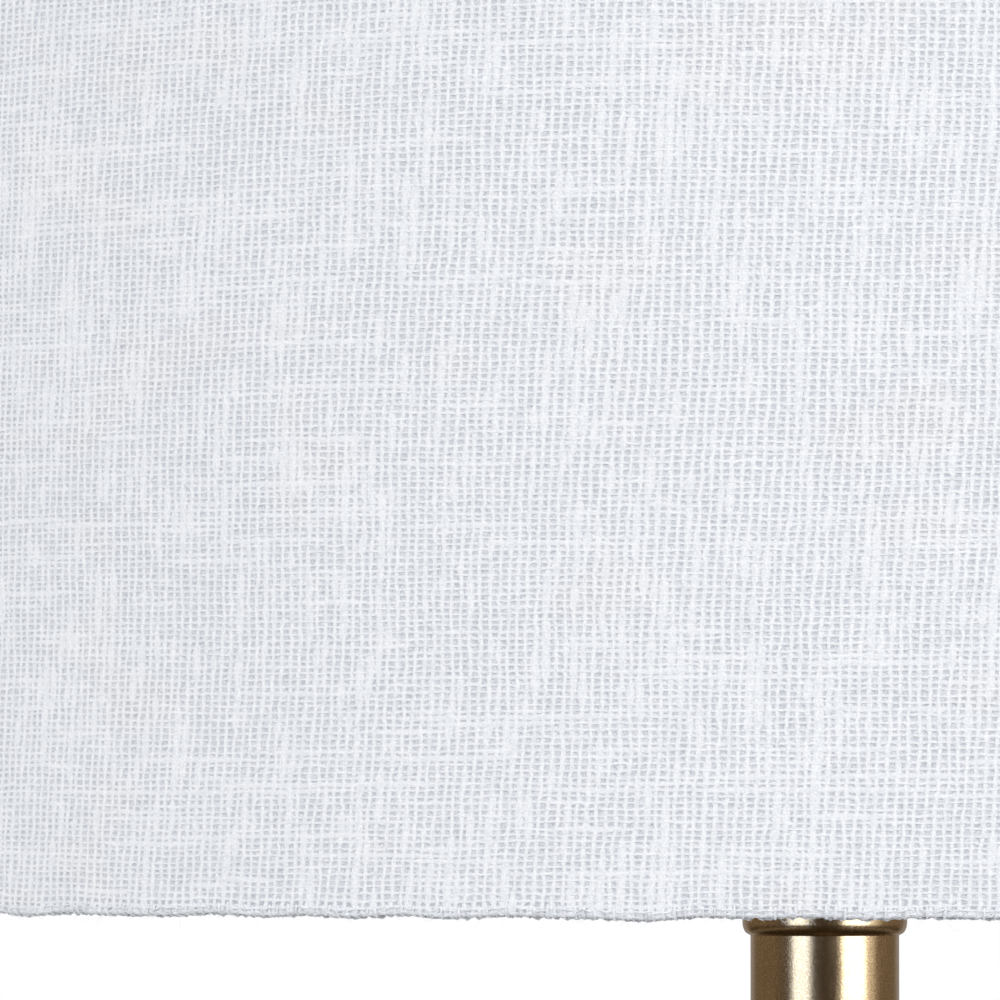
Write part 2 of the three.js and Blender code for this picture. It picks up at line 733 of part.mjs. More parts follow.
function buildHolder(head) {
  // The cap is a spun dome, open below, that hides the terminals.
  const capRadius = holderRadius + 1.6;
  const capBottom = capTop - holderCapHeight;
  const cap = lathe([
    [stemRadius + slip, capTop],
    [stemRadius + slip, capTop - 1],
    ...corner(8, capTop - 12, capRadius - 9, 11, 90, 0, 6),
    [capRadius - 1, capBottom],
    [capRadius, capBottom],
    ...corner(8, capTop - 12, capRadius - 8, 12, 0, 90, 6),
  ].reverse());
  add(head, "holder_cap", flip(cap), "satinBrass");

  const holderBottom = holderTop - holderLength;
  const flangeOut = holderRadius + 2;
  const body = lathe([
    [holderBore, holderBottom],
    [holderRadius - 1, holderBottom],
    [holderRadius, holderBottom + 1],
    [holderRadius, flangeBottom],
    [flangeOut, flangeBottom],
    [flangeOut, flangeBottom + 3],
    [holderRadius, flangeBottom + 4],
    [holderRadius, holderTop - gap],
    [holderBore + 2, holderTop - gap],
    [holderBore + 2, holderTop - 18],
    [holderBore, holderTop - 18],
  ]);
  add(head, "holder_body", body, "blackPlastic");

  const insertTop = holderTop - 5;
  const insertBottom = holderTop - 18 + gap;
  const insert = bar(holderBore + 2 - slip, insertBottom, insertTop, smallSides);
  const leads = bar(stemBore, insertTop - 6, insertTop + 1, smallSides);
  add(head, "holder_insert", cut(insert, leads), "porcelain");

  const contact = bar(4, insertBottom - gap - 2.5, insertBottom - gap, smallSides);
  add(head, "contact_centre", contact, "contactBrass");

  // The threaded ring that holds the shade's fitter against the flange.
  const nutTop = flangeBottom - gap - fitterThickness - gap;
  const shadeNut = lathe([
    [holderRadius + gap, nutTop - shadeNutHeight],
    [holderRadius + 3, nutTop - shadeNutHeight],
    [holderRadius + 4, nutTop - shadeNutHeight + 1.5],
    [holderRadius + 4, nutTop - 2.5],
    [holderRadius + 7, nutTop - 1.5],
    [holderRadius + 7, nutTop],
    [holderRadius + gap, nutTop],
  ]);
  add(head, "shade_nut", shadeNut, "blackPlastic");
  return insertBottom - gap - 2.5;
}

// Turns a geometry's faces round.
function flip(geometry) {
  const index = geometry.index;
  for (let i = 0; i < index.count; i += 3) {
    const second = index.getX(i + 1);
    index.setX(i + 1, index.getX(i + 2));
    index.setX(i + 2, second);
  }
  return geometry;
}

function buildBulb(head, contactBottom) {
  const eyeletTop = contactBottom - gap;
  add(head, "bulb_eyelet", bar(4.5, eyeletTop - 2, eyeletTop, smallSides), "contactBrass");
  const capTopZ = eyeletTop - 2 - gap;
  const capBottomZ = capTopZ - bulbCapLength;
  const cap = lathe([
    [0, capBottomZ],
    [bulbCapRadius, capBottomZ],
    [bulbCapRadius, capTopZ - 4],
    [bulbCapRadius - 4, capTopZ],
    [0, capTopZ],
  ]);
  add(head, "bulb_cap", cap, "zincSteel");
  const glassTop = capBottomZ - gap;
  const centre = glassTop - bulbLength + 25 + bulbRadius;
  const inside = bulbRadius - bulbWall;
  const glass = lathe([
    ...corner(0, centre, bulbRadius, bulbRadius, -90, 30, 7),
    [bulbNeckRadius + 2.4, glassTop - 14],
    [bulbNeckRadius, glassTop - 5],
    [bulbNeckRadius - 0.6, glassTop],
    [bulbNeckRadius - 0.6 - bulbWall, glassTop],
    [bulbNeckRadius - bulbWall, glassTop - 5],
    [bulbNeckRadius + 2.4 - bulbWall, glassTop - 14],
    ...corner(0, centre, inside, inside, 30, -90, 7),
  ], 24);
  add(head, "bulb_glass", glass, "frostedGlass");
}

// ---- Shade ----
function buildShade(head) {
  const outer = shadeDiameter / 2;
  const clothInner = outer - clothThickness;
  const linerOuter = clothInner - gap;
  const linerInner = linerOuter - linerThickness;
  const ringRadius = linerInner - gap - wireRadius;
  const hemOuter = ringRadius - wireRadius - gap;
  const hemInner = hemOuter - clothThickness;
  const top = -pivotAboveShade;
  const bottom = top - shadeHeight;
  const foldWidth = (outer - hemInner) / 2;
  const foldDepth = 1.6;
  const middle = (outer + hemInner) / 2;

  // The cover: one wall of cloth that turns in over both edges, each time in half an oval.
  const fold = (edge, side, inset, steps) =>
    corner(middle, edge - side * foldDepth, foldWidth - inset, side * (foldDepth - inset), 0, 180, steps);
  const cover = lathe([
    [hemInner, bottom + hemWidth],
    ...fold(bottom, -1, 0, 5).reverse(),
    ...fold(top, 1, 0, 5),
    [hemInner, top - hemWidth],
    [hemOuter, top - hemWidth],
    ...fold(top, 1, clothThickness, 4).reverse(),
    ...fold(bottom, -1, clothThickness, 4),
    [hemOuter, bottom + hemWidth],
  ], shadeSides);
  add(head, "shade_cover", cover, "linen");

  const edgeRoom = foldDepth + gap;
  const liner = ring(linerInner, linerOuter, bottom + edgeRoom, top - edgeRoom, shadeSides);
  add(head, "shade_liner", liner, "shadeLiner");
  const ringRoom = clothThickness + gap + wireRadius + 0.6;
  add(head, "shade_ring_bottom", wireRing(ringRadius, bottom + ringRoom), "whiteWire");

  // The fitter, three spokes and the top ring, welded into one spider.
  const fitterTop = flangeBottom - gap;
  const fitterInner = holderRadius + gap;
  const fitter = ring(fitterInner, fitterInner + fitterWidth, fitterTop - fitterThickness, fitterTop);
  const spokeZ = fitterTop - fitterThickness / 2;
  const bend = 12;
  const legRadius = ringRadius - gap; // the spokes' upturned ends stand just inside the ring's line
  const spokePath = new THREE.CurvePath();
  const start = new THREE.Vector3(fitterInner + fitterWidth - 2.5, 0, spokeZ);
  const turnIn = new THREE.Vector3(legRadius - bend, 0, spokeZ);
  const turnMid = new THREE.Vector3(legRadius, 0, spokeZ);
  const turnOut = new THREE.Vector3(legRadius, 0, spokeZ + bend);
  const finish = new THREE.Vector3(legRadius, 0, top - ringRoom);
  spokePath.add(new THREE.LineCurve3(start, turnIn));
  spokePath.add(new THREE.QuadraticBezierCurve3(turnIn, turnMid, turnOut));
  spokePath.add(new THREE.LineCurve3(turnOut, finish));
  const spoke = tubeAlong(spokePath, wireRadius * 0.9, 0, 6, 0, 20);
  const spokes = [60, 180, 300].map((degrees) => spoke.clone().rotateZ(THREE.MathUtils.degToRad(degrees)));
  const spider = joined(fitter, wireRing(ringRadius, top - ringRoom), ...spokes);
  add(head, "shade_spider", spider, "whiteWire");
}

// ---- Assembly ----
const lamp = new THREE.Group();
const stand = new THREE.Group();
const lock = new THREE.Group();
const mast = new THREE.Group();
const arc = new THREE.Group();
const head = new THREE.Group();
const tiltKnob = new THREE.Group();
head.position.set(reach, 0, pivotHeight);
tiltKnob.position.copy(head.position);
lamp.add(stand, lock, mast, arc, head, tiltKnob);

buildBase(stand);
buildSwitch(stand);
buildPole(stand);
buildCollar(stand);
buildLock(lock);
buildMast(mast);
buildArc(arc);
buildKnuckle(head);
buildTiltKnob(tiltKnob);
buildBulb(head, buildHolder(head));
buildShade(head);

export default lamp;
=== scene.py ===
import json
from math import cos, pi, radians, sin

import bmesh
import bpy
import numpy as np
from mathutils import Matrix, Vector


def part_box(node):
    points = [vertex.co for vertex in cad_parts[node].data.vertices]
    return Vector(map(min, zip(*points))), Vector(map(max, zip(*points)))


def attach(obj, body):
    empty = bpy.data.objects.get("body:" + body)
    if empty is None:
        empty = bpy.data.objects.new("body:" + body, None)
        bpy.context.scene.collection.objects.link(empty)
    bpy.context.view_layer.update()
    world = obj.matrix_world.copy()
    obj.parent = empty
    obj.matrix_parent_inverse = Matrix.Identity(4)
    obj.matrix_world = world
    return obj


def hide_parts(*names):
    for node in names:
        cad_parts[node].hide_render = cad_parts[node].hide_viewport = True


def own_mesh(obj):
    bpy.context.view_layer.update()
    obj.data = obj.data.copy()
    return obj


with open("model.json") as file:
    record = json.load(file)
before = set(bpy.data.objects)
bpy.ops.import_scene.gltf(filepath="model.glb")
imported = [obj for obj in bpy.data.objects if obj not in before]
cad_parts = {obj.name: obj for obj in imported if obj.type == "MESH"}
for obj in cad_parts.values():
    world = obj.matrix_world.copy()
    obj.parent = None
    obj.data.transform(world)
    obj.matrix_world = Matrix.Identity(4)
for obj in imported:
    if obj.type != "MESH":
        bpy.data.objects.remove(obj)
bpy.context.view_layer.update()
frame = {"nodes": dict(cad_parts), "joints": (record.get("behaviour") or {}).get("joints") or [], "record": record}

mm = 0.001
rng = np.random.default_rng(11)
nodes = frame["nodes"]
joints = {joint["name"]: joint for joint in frame["joints"]}


# A grid of points becomes quads between neighbours. A wrapped side joins its last line to its first.
# Repeated points are merged, which closes poles, and the normals are turned outwards.
def surface(name, grid, wrapRows=False, wrapCols=True, uv=None, sharp=35):
    rows, cols = grid.shape[:2]
    r = np.arange(rows if wrapRows else rows - 1)[:, None]
    c = np.arange(cols if wrapCols else cols - 1)[None, :]
    corners = [(r, c), (r, c + 1), (r + 1, c + 1), (r + 1, c)]
    quads = np.stack([(a % rows) * cols + b % cols for a, b in corners], -1).reshape(-1, 4)
    mesh = bpy.data.meshes.new(name)
    mesh.from_pydata(grid.reshape(-1, 3).tolist(), [], quads.tolist())
    if uv is not None:
        layer = mesh.uv_layers.new(name="threads")
        layer.data.foreach_set("uv", np.stack([uv[a, b] for a, b in corners], 2).ravel())
    return closed(name, mesh, sharp)


def closed(name, mesh, sharp=35):
    work = bmesh.new()
    work.from_mesh(mesh)
    bmesh.ops.remove_doubles(work, verts=work.verts, dist=1e-6)
    bmesh.ops.recalc_face_normals(work, faces=work.faces)
    work.to_mesh(mesh)
    work.free()
    return shown(name, mesh, sharp)


def shown(name, mesh, sharp=35):
    mesh.shade_smooth()
    mesh.set_sharp_from_angle(angle=radians(sharp))
    piece = bpy.data.objects.new(name, mesh)
    bpy.context.scene.collection.objects.link(piece)
    return piece


mostShare = 0.45


# Each corner becomes a quadratic curve that starts and ends one radius away from it along its two sides, but
# never further than mostShare of a side.
def rounded(corners, radius, steps=5, loop=True):
    p = np.asarray(corners, float)
    radius = np.broadcast_to(np.asarray(radius, float), len(p))[:, None]

    def cutBack(side):
        length = np.maximum(np.linalg.norm(side, axis=1, keepdims=True), 1e-9)
        return (p + side * np.minimum(radius / length, mostShare))[:, None]

    a, c = cutBack(np.roll(p, 1, 0) - p), cutBack(np.roll(p, -1, 0) - p)
    t = np.linspace(0, 1, steps)[None, :, None]
    curve = (1 - t) ** 2 * a + 2 * t * (1 - t) * p[:, None] + t ** 2 * c
    if not loop:
        curve[0], curve[-1] = p[0], p[-1]
    return curve.reshape(-1, 2)


# Extra points are put along a profile wherever two of its points are further apart than step.
def densified(profile, step, loop=True):
    p = np.vstack([profile, profile[:1]]) if loop else np.asarray(profile, float)
    lengths = np.linalg.norm(np.diff(p, axis=0), axis=1)
    counts = np.maximum(np.ceil(lengths / step).astype(int), 1)
    start = np.repeat(np.arange(len(counts)), counts)
    order = np.arange(counts.sum()) - np.repeat(np.cumsum(counts) - counts, counts)
    share = order / np.repeat(counts, counts)
    dense = p[start] + (p[start + 1] - p[start]) * share[:, None]
    return dense if loop else np.vstack([dense, p[-1:]])


# A straight axis: the point at a distance along it, and the two directions across it.
def straight(origin, along=(0, 0, 1), across=(1, 0, 0)):
    o, d, n = (np.asarray(v, float) for v in (origin, along, across))

    def axis(t):
        shape = t.shape + (3,)
        return o + t[..., None] * d, np.broadcast_to(n, shape), np.broadcast_to(np.cross(d, n), shape)

    return axis


# A profile of (radius, distance along the axis) is turned about an axis, straight or bent.
# Each point lies at centre + radius * (cos a * across + sin a * sideways), and ripple adds to the radius.
def turned(name, profile, axis, sides=96, loop=True, ripple=None, sharp=35):
    profile = np.asarray(profile, float)
    a = np.linspace(0, 2 * pi, sides, endpoint=False)[None, :]
    radius, along = profile[:, :1] + 0 * a, profile[:, 1:] + 0 * a
    if ripple:
        radius = radius + ripple(a, radius, along)
    centre, across, sideways = axis(along)
    out = np.cos(a)[..., None] * across + np.sin(a)[..., None] * sideways
    return surface(name, centre + radius[..., None] * out, wrapRows=loop, sharp=sharp)


def joinedPieces(name, *pieces):
    work = bmesh.new()
    for piece in pieces:
        work.from_mesh(piece.data)
        bpy.data.objects.remove(piece)
    mesh = bpy.data.meshes.new(name)
    work.to_mesh(mesh)
    work.free()
    return shown(name, mesh)


# A piece takes its slot's finish, or one of its own, rides a body and hides the CAD nodes it stands for.
def place(piece, body, slot, *hidden, finish=None):
    piece.data.materials.clear()
    piece.data.materials.append(finish or finishes[slot])
    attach(piece, body)
    if hidden:
        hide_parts(*hidden)
    return piece


def plug(tree, socket, value):
    if isinstance(value, Wire):
        tree.links.new(value.socket, socket)
    else:
        socket.default_value = value


class Wire:  # a node's output that takes part in arithmetic; each operation adds a Math node
    def __init__(self, tree, socket):
        self.tree, self.socket = tree, socket

    def math(self, operation, *values):
        node = self.tree.nodes.new("ShaderNodeMath")
        node.operation = operation
        for socket, value in zip(node.inputs, values):
            plug(self.tree, socket, value)
        return Wire(self.tree, node.outputs[0])

    def __add__(self, other): return self.math("ADD", self, other)
    def __radd__(self, other): return self.math("ADD", other, self)
    def __sub__(self, other): return self.math("SUBTRACT", self, other)
    def __rsub__(self, other): return self.math("SUBTRACT", other, self)
    def __mul__(self, other): return self.math("MULTIPLY", self, other)
    def __rmul__(self, other): return self.math("MULTIPLY", other, self)
    def __truediv__(self, other): return self.math("DIVIDE", self, other)
    def __neg__(self): return self.math("MULTIPLY", self, -1.0)
    def __abs__(self): return self.math("ABSOLUTE", self)
    def floor(self): return self.math("FLOOR", self)
    def sine(self): return self.math("SINE", self)
    def root(self): return self.math("SQRT", self)
    def most(self, other): return self.math("MAXIMUM", self, other)
    def least(self, other): return self.math("MINIMUM", self, other)


class Nodes:
    def __init__(self, tree):
        self.tree = tree

    # Any node: its type, its settings, then the values or links of its sockets, by name or number.
    def node(self, kind, settings=None, sockets=None, out=0):
        node = self.tree.nodes.new("ShaderNode" + kind)
        for key, value in (settings or {}).items():
            setattr(node, key, value)
        for key, value in (sockets or {}).items():
            plug(self.tree, node.inputs[key], value)
        return None if out is None else Wire(self.tree, node.outputs[out])

    def places(self):
        return self.node("TexCoord", out="Object")

    def noise(self, vector, scale, detail=2.0, rough=0.5):
        sockets = {"Vector": vector, "Scale": scale, "Detail": detail, "Roughness": rough}
        return self.node("TexNoise", None, sockets)

    def parts(self, vector):
        node = self.tree.nodes.new("ShaderNodeSeparateXYZ")
        plug(self.tree, node.inputs[0], vector)
        return [Wire(self.tree, output) for output in node.outputs]

    def point(self, x, y, z=0.0):
        return self.node("CombineXYZ", None, {"X": x, "Y": y, "Z": z})

    def stretched(self, vector, scale):
        return self.node("VectorMath", {"operation": "MULTIPLY"}, {0: vector, 1: scale})

    def eased(self, value, low, high, start=0.0, end=1.0):
        sockets = {"Value": value, "From Min": low, "From Max": high, "To Min": start, "To Max": end}
        return self.node("MapRange", {"interpolation_type": "SMOOTHSTEP"}, sockets)

    def mixed(self, factor, a, b):
        return self.node("Mix", {"data_type": "RGBA"}, {0: factor, 6: a, 7: b}, out=2)

    def bump(self, height, distance, strength=1.0):
        return self.node("Bump", None, {"Height": height, "Distance": distance, "Strength": strength})


class Finish(Nodes):  # one material under construction
    def __init__(self, name, **constants):
        self.material = bpy.data.materials.new(name)
        self.material.use_nodes = True
        super().__init__(self.material.node_tree)
        self.shader = self.tree.nodes["Principled BSDF"]
        for key, value in constants.items():
            self.shader.inputs[key.replace("_", " ")].default_value = value

    def done(self, **links):
        for key, wire in links.items():
            plug(self.tree, self.shader.inputs[key.replace("_", " ")], wire)
        return self.material


def colour(r, g, b):
    return (r, g, b, 1.0)


shadeLow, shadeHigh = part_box("shade_cover")
shade = {
    "radius": (shadeHigh.y - shadeLow.y) / 2, "bottom": shadeLow.z, "top": shadeHigh.z,
    "cloth": 0.62 * mm, "turnIn": 10 * mm, "fold": 0.7 * mm, "square": 0.45, "ripple": 0.16 * mm,
    "wave": 0.28 * mm, "columns": 640, "overlap": 14 * mm, "skin": 0.2 * mm, "hemRise": 0.22 * mm,
    "hemDepth": 5.4 * mm, "topGap": 0.1 * mm, "edgeBand": 8 * mm,
}
shadeAxis = Vector(((shadeLow.x + shadeHigh.x) / 2, 0, 0))
hemEdge = shade["bottom"] + shade["hemRise"]
foldOuter, foldInner = shade["radius"] - shade["skin"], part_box("shade_liner")[1].y - shade["hemDepth"]
foldMiddle, foldWidth = (foldOuter + foldInner) / 2, (foldOuter - foldInner) / 2


# The cloth turns in over its edge in half of a squarish oval: middle + width * cos^p t across, and
# height * (1 - sin^p t) over the edge, where p is shade's "square".
def foldPoint(t, lift=0.0):
    c, s = np.cos(t), np.abs(np.sin(t)) ** shade["square"]
    c = np.sign(c) * np.abs(c) ** shade["square"]
    return foldMiddle + (foldWidth + lift) * c, shade["fold"] - (shade["fold"] + lift) * s


def foldLength():
    r, z = foldPoint(np.linspace(0, pi, 60))
    return np.hypot(np.diff(r), np.diff(z)).sum()


brass = {
    "light": colour(0.84, 0.61, 0.358), "dark": colour(0.575, 0.395, 0.203), "grain": 2500, "cloud": 24,
    "roughness": 0.228, "spread": 0.065, "grainDepth": 0.013 * mm,
}


def satinBrass():
    f = Finish("satinBrass", Metallic=1.0, Coat_Roughness=0.12, Coat_IOR=1.45, Coat_Weight=0.15)
    at = f.places()
    grain = f.noise(at, brass["grain"], 1.0, 0.5)
    cloud = f.noise(at, brass["cloud"], 3.0, 0.55)
    rubbed = f.noise(f.stretched(at, (1.0, 1.0, 0.12)), 620, 2.0, 0.5)
    tone = f.eased(cloud * 0.2 + grain * 0.65 + rubbed * 0.15, 0.36, 0.64)
    rough = brass["roughness"] + (grain - 0.5) * brass["spread"]
    rough = rough + (rubbed - 0.5) * 0.05 + (cloud - 0.5) * 0.05
    return f.done(
        Base_Color=f.mixed(tone, brass["dark"], brass["light"]), Roughness=rough,
        Normal=f.bump(grain + rubbed * 0.4, brass["grainDepth"], 0.6))


weave = {
    "warpPitch": 1.26 * mm, "weftPitch": 0.807 * mm, "depth": 0.16 * mm, "lean": 0.039, "drift": 12.0,
    # bright is the colour of painted highlights and pale fibres; gap is painted shade, the white liner seen
    # through the holes in the threads' shadow
    "thread": colour(0.835, 0.852, 0.885), "bright": colour(0.985, 0.99, 1.0),
    "warm": colour(0.89, 0.865, 0.86), "gap": colour(0.545, 0.567, 0.622), "warpHalf": 0.245, "weftHalf": 0.225,
    "firstRow": 300,
}
weave["hemRow"] = weave["firstRow"] + (shade["turnIn"] - shade["fold"] + foldLength()) / weave["weftPitch"]


# Threads are counted by the UV map: u is the number of warp threads round the shade, v the number of weft
# threads up it. Each thread is round across, thickens in slubs along its own length, and rises and sinks as
# a sine along it, so that warp i and weft j cross with the warp on top where i + j is even. A hole is the
# product of how far a place is from its warp and from its weft thread. It is darker round its rim than in its
# middle, and fibres cross it. Holes are painted shade: they take the gap colour of the white liner seen in
# the threads' shadow, and their upper part is darkened further as a painted shadow of the weft thread above.
# Painted highlights brighten each thread's edge beside a hole and thin streaks along the threads.
def openLinen():
    w = weave
    f = Finish("openLinen", Roughness=0.92, Specular_IOR_Level=0.25, Sheen_Weight=0.1, Sheen_Roughness=0.5)
    u0, v0, _ = f.parts(f.node("UVMap", {"uv_map": "threads"}))

    def wander(x, y, layer, detail=1.0):
        return f.noise(f.point(x, y, layer), 1.0, detail, 0.55) - 0.5

    def band(value, low, high, edge):
        return f.eased(value, low - edge, low) * (1.0 - f.eased(value, high, high + edge))

    # neither set of threads runs straight, and each thread lies a little off its place
    u = u0 - v0 * w["lean"] + wander(u0 * 0.012, v0 * 0.012, 1.5) * 3.0
    u = u + wander(u0 * 0.30, v0 * 0.07, 2.5, 2.0) * 0.8
    v = v0 + wander(u0 * 0.012, v0 * 0.02, 4.5) * 3.0 + wander(u0 * 0.06, v0 * 0.30, 5.5, 2.0) * 1.0
    i, j = u.floor(), v.floor()
    acrossWarp = u - i - 0.5 + wander(i * 5.3, v0 * 0.30, 7.5, 3.0) * 0.62
    acrossWeft = v - j - 0.5 + wander(u0 * 0.45, j * 4.1, 8.5, 3.0) * 0.70

    # slubs, chosen thread by thread, and cloth that is closer in some patches than in others
    warpSlub = f.eased(wander(i * 7.31, v0 * 0.095, 10.5, 2.0), 0.03, 0.15)
    weftSlub = f.eased(wander(u0 * 0.055, j * 5.17, 11.5, 2.0), 0.05, 0.18)
    patch = wander(u0 * 0.06, v0 * 0.045, 13.5, 2.0)
    fuzz = wander(u0 * 3.1, v0 * 2.1, 14.5, 3.0)
    fray = wander(u0 * 6.0, v0 * 4.0, 15.5, 2.0)
    warpHalf = w["warpHalf"] + warpSlub * 0.26 + patch * 0.06 + fuzz * 0.38
    weftHalf = w["weftHalf"] + weftSlub * 0.26 + patch * 0.06 + fuzz * 0.44
    a, b = abs(acrossWarp) / warpHalf.most(0.08), abs(acrossWeft) / weftHalf.most(0.08)
    warpRound, weftRound = (1.0 - (a * a).least(1.0)).root(), (1.0 - (b * b).least(1.0)).root()
    warpOff, weftOff = f.eased(a, 0.72, 1.50), f.eased(b, 0.72, 1.50)
    rise, sink = ((v + i) * pi).sine(), ((u + j) * pi).sine()
    warpTop = warpRound * 0.6 + (1.0 - warpOff) * (rise * 0.13 + 0.38)
    weftTop = weftRound * 0.6 + (1.0 - weftOff) * (0.38 - sink * 0.13)
    top = warpTop.most(weftTop)

    # single fibres are contour lines of a noise: thin, curved and unbroken
    upward = 1.0 - (abs(wander(u0 * 1.5, v0 * 0.60, 17.5, 1.0)) / 0.030).least(1.0)
    sideways = 1.0 - (abs(wander(u0 * 0.75, v0 * 1.3, 18.5, 1.0)) / 0.030).least(1.0)
    fibre = upward.most(sideways)
    # painted highlight: a thin pale streak, a glint along a fibre, wanders across each thread, and shows along
    # part of its length
    aside = acrossWarp - wander(i * 9.7, v0 * 0.9, 23.5, 2.0) * 0.9
    above = acrossWeft - wander(u0 * 0.8, j * 8.3, 27.5, 2.0) * 0.9
    ridge = 1.0 - f.eased(abs(aside), 0.03, 0.13)
    ridge = ridge * f.eased(wander(i * 4.9, v0 * 0.50, 24.5, 2.0), -0.13, 0.05)
    strand = 1.0 - f.eased(abs(above), 0.04, 0.18)
    strand = strand * f.eased(wander(u0 * 0.40, j * 6.1, 28.5, 2.0), -0.02, 0.14)
    pale = ridge.most(strand * 0.7)
    hole = warpOff * weftOff
    # the first row of holes over the hem is darker, and no two holes are equally dark
    nearHem = band(v0, w["hemRow"] + 0.4, w["hemRow"] + 1.2, 0.6)
    cell = wander(i * 3.37, j * 2.71, 26.5)
    dark = hole * (1.10 + nearHem * 0.45 + cell * 1.5 - f.eased(hole, 0.45, 1.0) * 0.45 + fray * 3.0)
    # painted shadow: the sine darkens the upper part of each hole, under the weft thread above
    dark = dark * (1.0 - fibre * 0.6) * (1.0 - pale * 0.85) * (0.82 + 0.18 * (v * (2 * pi) + 0.5).sine())
    strands = wander(u0 * 5.0 + v0 * 1.1, v0 * 5.2 + u0 * 0.9, 20.5, 2.0)
    # painted highlight: rim brightens each thread's edge where it meets a hole
    rim = band(a, 0.45, 0.70, 0.25).most(band(b, 0.45, 0.70, 0.25) * 0.6)
    # lit mixes threads towards the bright colour: painted highlights from rim and pale, and the paler tone of
    # strands, fibres and fray
    lit = 0.10 + rim * 0.28 + strands * 4.2 + fibre * 0.60 + fray * 1.7 + pale * 1.2

    tint = f.eased(wander(u0 * 0.06, v0 * 0.06, 22.5), 0.10, 0.24)
    thread = f.mixed(lit.most(0.0).least(1.0), f.mixed(tint * 0.6, w["thread"], w["warm"]), w["bright"])
    # the gap colour is painted shade: the white liner seen through the holes in the threads' shadow
    return f.done(
        Base_Color=f.mixed(dark.most(0.0).least(1.0), thread, w["gap"]),
        Normal=f.bump(top + strands * 0.35 + fuzz * 0.15 + fibre * 0.18, w["depth"], 0.8))


# A plain finish: its colour and roughness vary a little with a fine and a broad noise.
def plainNoise(name, base, other, scale, roughness, depth, **constants):
    f = Finish(name, **constants)
    at = f.places()
    fine = f.noise(at, scale, 3.0, 0.6)
    broad = f.noise(at, scale * 0.06, 2.0, 0.5)
    tone = f.eased(fine * 0.5 + broad * 0.5, 0.35, 0.65)
    return f.done(
        Base_Color=f.mixed(tone, colour(*base), colour(*other)),
        Roughness=roughness + (fine - 0.5) * 0.12 + (broad - 0.5) * 0.10,
        Normal=f.bump(fine, depth, 0.6))


def hemTwine(name, low, high):
    f = Finish(name, Roughness=0.95, Specular_IOR_Level=0.2, Sheen_Weight=0.15)
    at = f.places()
    fibres = f.noise(at, 5200, 2.0, 0.65)
    worn = f.noise(at, 700, 2.0, 0.5)
    tone = f.eased(fibres * 0.6 + worn * 0.4, 0.33, 0.62)
    dull, fair = colour(low * 0.975, low, low * 1.05), colour(high * 0.985, high, high * 1.02)
    return f.done(
        Base_Color=f.mixed(tone, dull, fair),
        Normal=f.bump(fibres, 0.10 * mm, 0.8))


def linerFilm():
    f = Finish("linerFilm", Coat_Weight=0.08, Coat_Roughness=0.4)
    at = f.places()
    pebble = f.noise(at, 2400, 2.0, 0.5)
    soft = f.noise(at, 12, 2.0, 0.5)
    return f.done(
        Base_Color=f.mixed(soft, colour(0.82, 0.83, 0.84), colour(0.88, 0.885, 0.89)),
        Roughness=0.52 + (pebble - 0.5) * 0.2, Normal=f.bump(pebble, 0.03 * mm, 0.5))


finishes = {
    "satin_brass": satinBrass(),
    "cast_iron": plainNoise(
        "castIron", (0.025, 0.025, 0.028), (0.06, 0.06, 0.062), 700, 0.72, 0.15 * mm, Metallic=0.3),
    "zinc_steel": plainNoise(
        "zincSteel", (0.50, 0.51, 0.53), (0.66, 0.67, 0.68), 900, 0.34, 0.02 * mm, Metallic=1.0),
    "felt_pad": plainNoise(
        "pressedFelt", (0.018, 0.018, 0.02), (0.05, 0.05, 0.053), 1600, 0.95, 0.3 * mm, Sheen_Weight=0.4),
    "black_plastic": plainNoise(
        "blackMoulding", (0.012, 0.012, 0.013), (0.024, 0.024, 0.026), 2600, 0.42, 0.03 * mm),
    "white_nylon": plainNoise(
        "whiteNylon", (0.74, 0.73, 0.69), (0.82, 0.81, 0.78), 800, 0.45, 0.01 * mm, Subsurface_Weight=0.1),
    "porcelain": plainNoise(
        "porcelain", (0.84, 0.83, 0.80), (0.88, 0.875, 0.85), 300, 0.18, 0.01 * mm, Coat_Weight=0.6),
    "contact_brass": plainNoise(
        "contactBrass", (0.72, 0.52, 0.22), (0.80, 0.60, 0.30), 1200, 0.28, 0.02 * mm, Metallic=1.0),
    "white_wire": plainNoise(
        "coatedWire", (0.80, 0.80, 0.79), (0.86, 0.86, 0.85), 2200, 0.38, 0.02 * mm, Coat_Weight=0.2),
    "shade_liner": linerFilm(),
    "linen": openLinen(),
    "frosted_glass": plainNoise(
        "frostedGlass", (0.92, 0.915, 0.90), (0.96, 0.955, 0.945), 1800, 0.62, 0.015 * mm,
        Coat_Weight=0.08, Coat_Roughness=0.35, Specular_IOR_Level=0.3, Subsurface_Weight=0.2),
    "white_flex": plainNoise(
        "flexSheath", (0.80, 0.80, 0.79), (0.85, 0.85, 0.84), 900, 0.42, 0.02 * mm),
}
for part in frame["record"]["subparts"]:
    piece = nodes[part["node"]]
    piece.data.materials.clear()
    piece.data.materials.append(finishes[part["material_slot"]])
print("finishes made and given to the CAD nodes:", len(finishes))


# A sum of a few whole waves round the shade, so that it meets itself: amplitude * sin(n * a + phase).
def roundWave(a, low, high, count, size, seed):
    picker = np.random.default_rng(seed)
    n = picker.integers(low, high, count)[:, None]
    phase = picker.uniform(0, 2 * pi, count)[:, None]
    weight = picker.uniform(0.4, 1.0, count)[:, None]
    waves = (weight * np.sin(n * a.ravel() + phase)).sum(0).reshape(a.shape)
    return size * waves / np.sqrt((weight ** 2).sum() / 2)


def edgeWave(a, seed):
    return roundWave(a, 8, 90, 14, shade["wave"] / 2, seed)


lowSeed, highSeed, swellSeed = 3, 5, 4


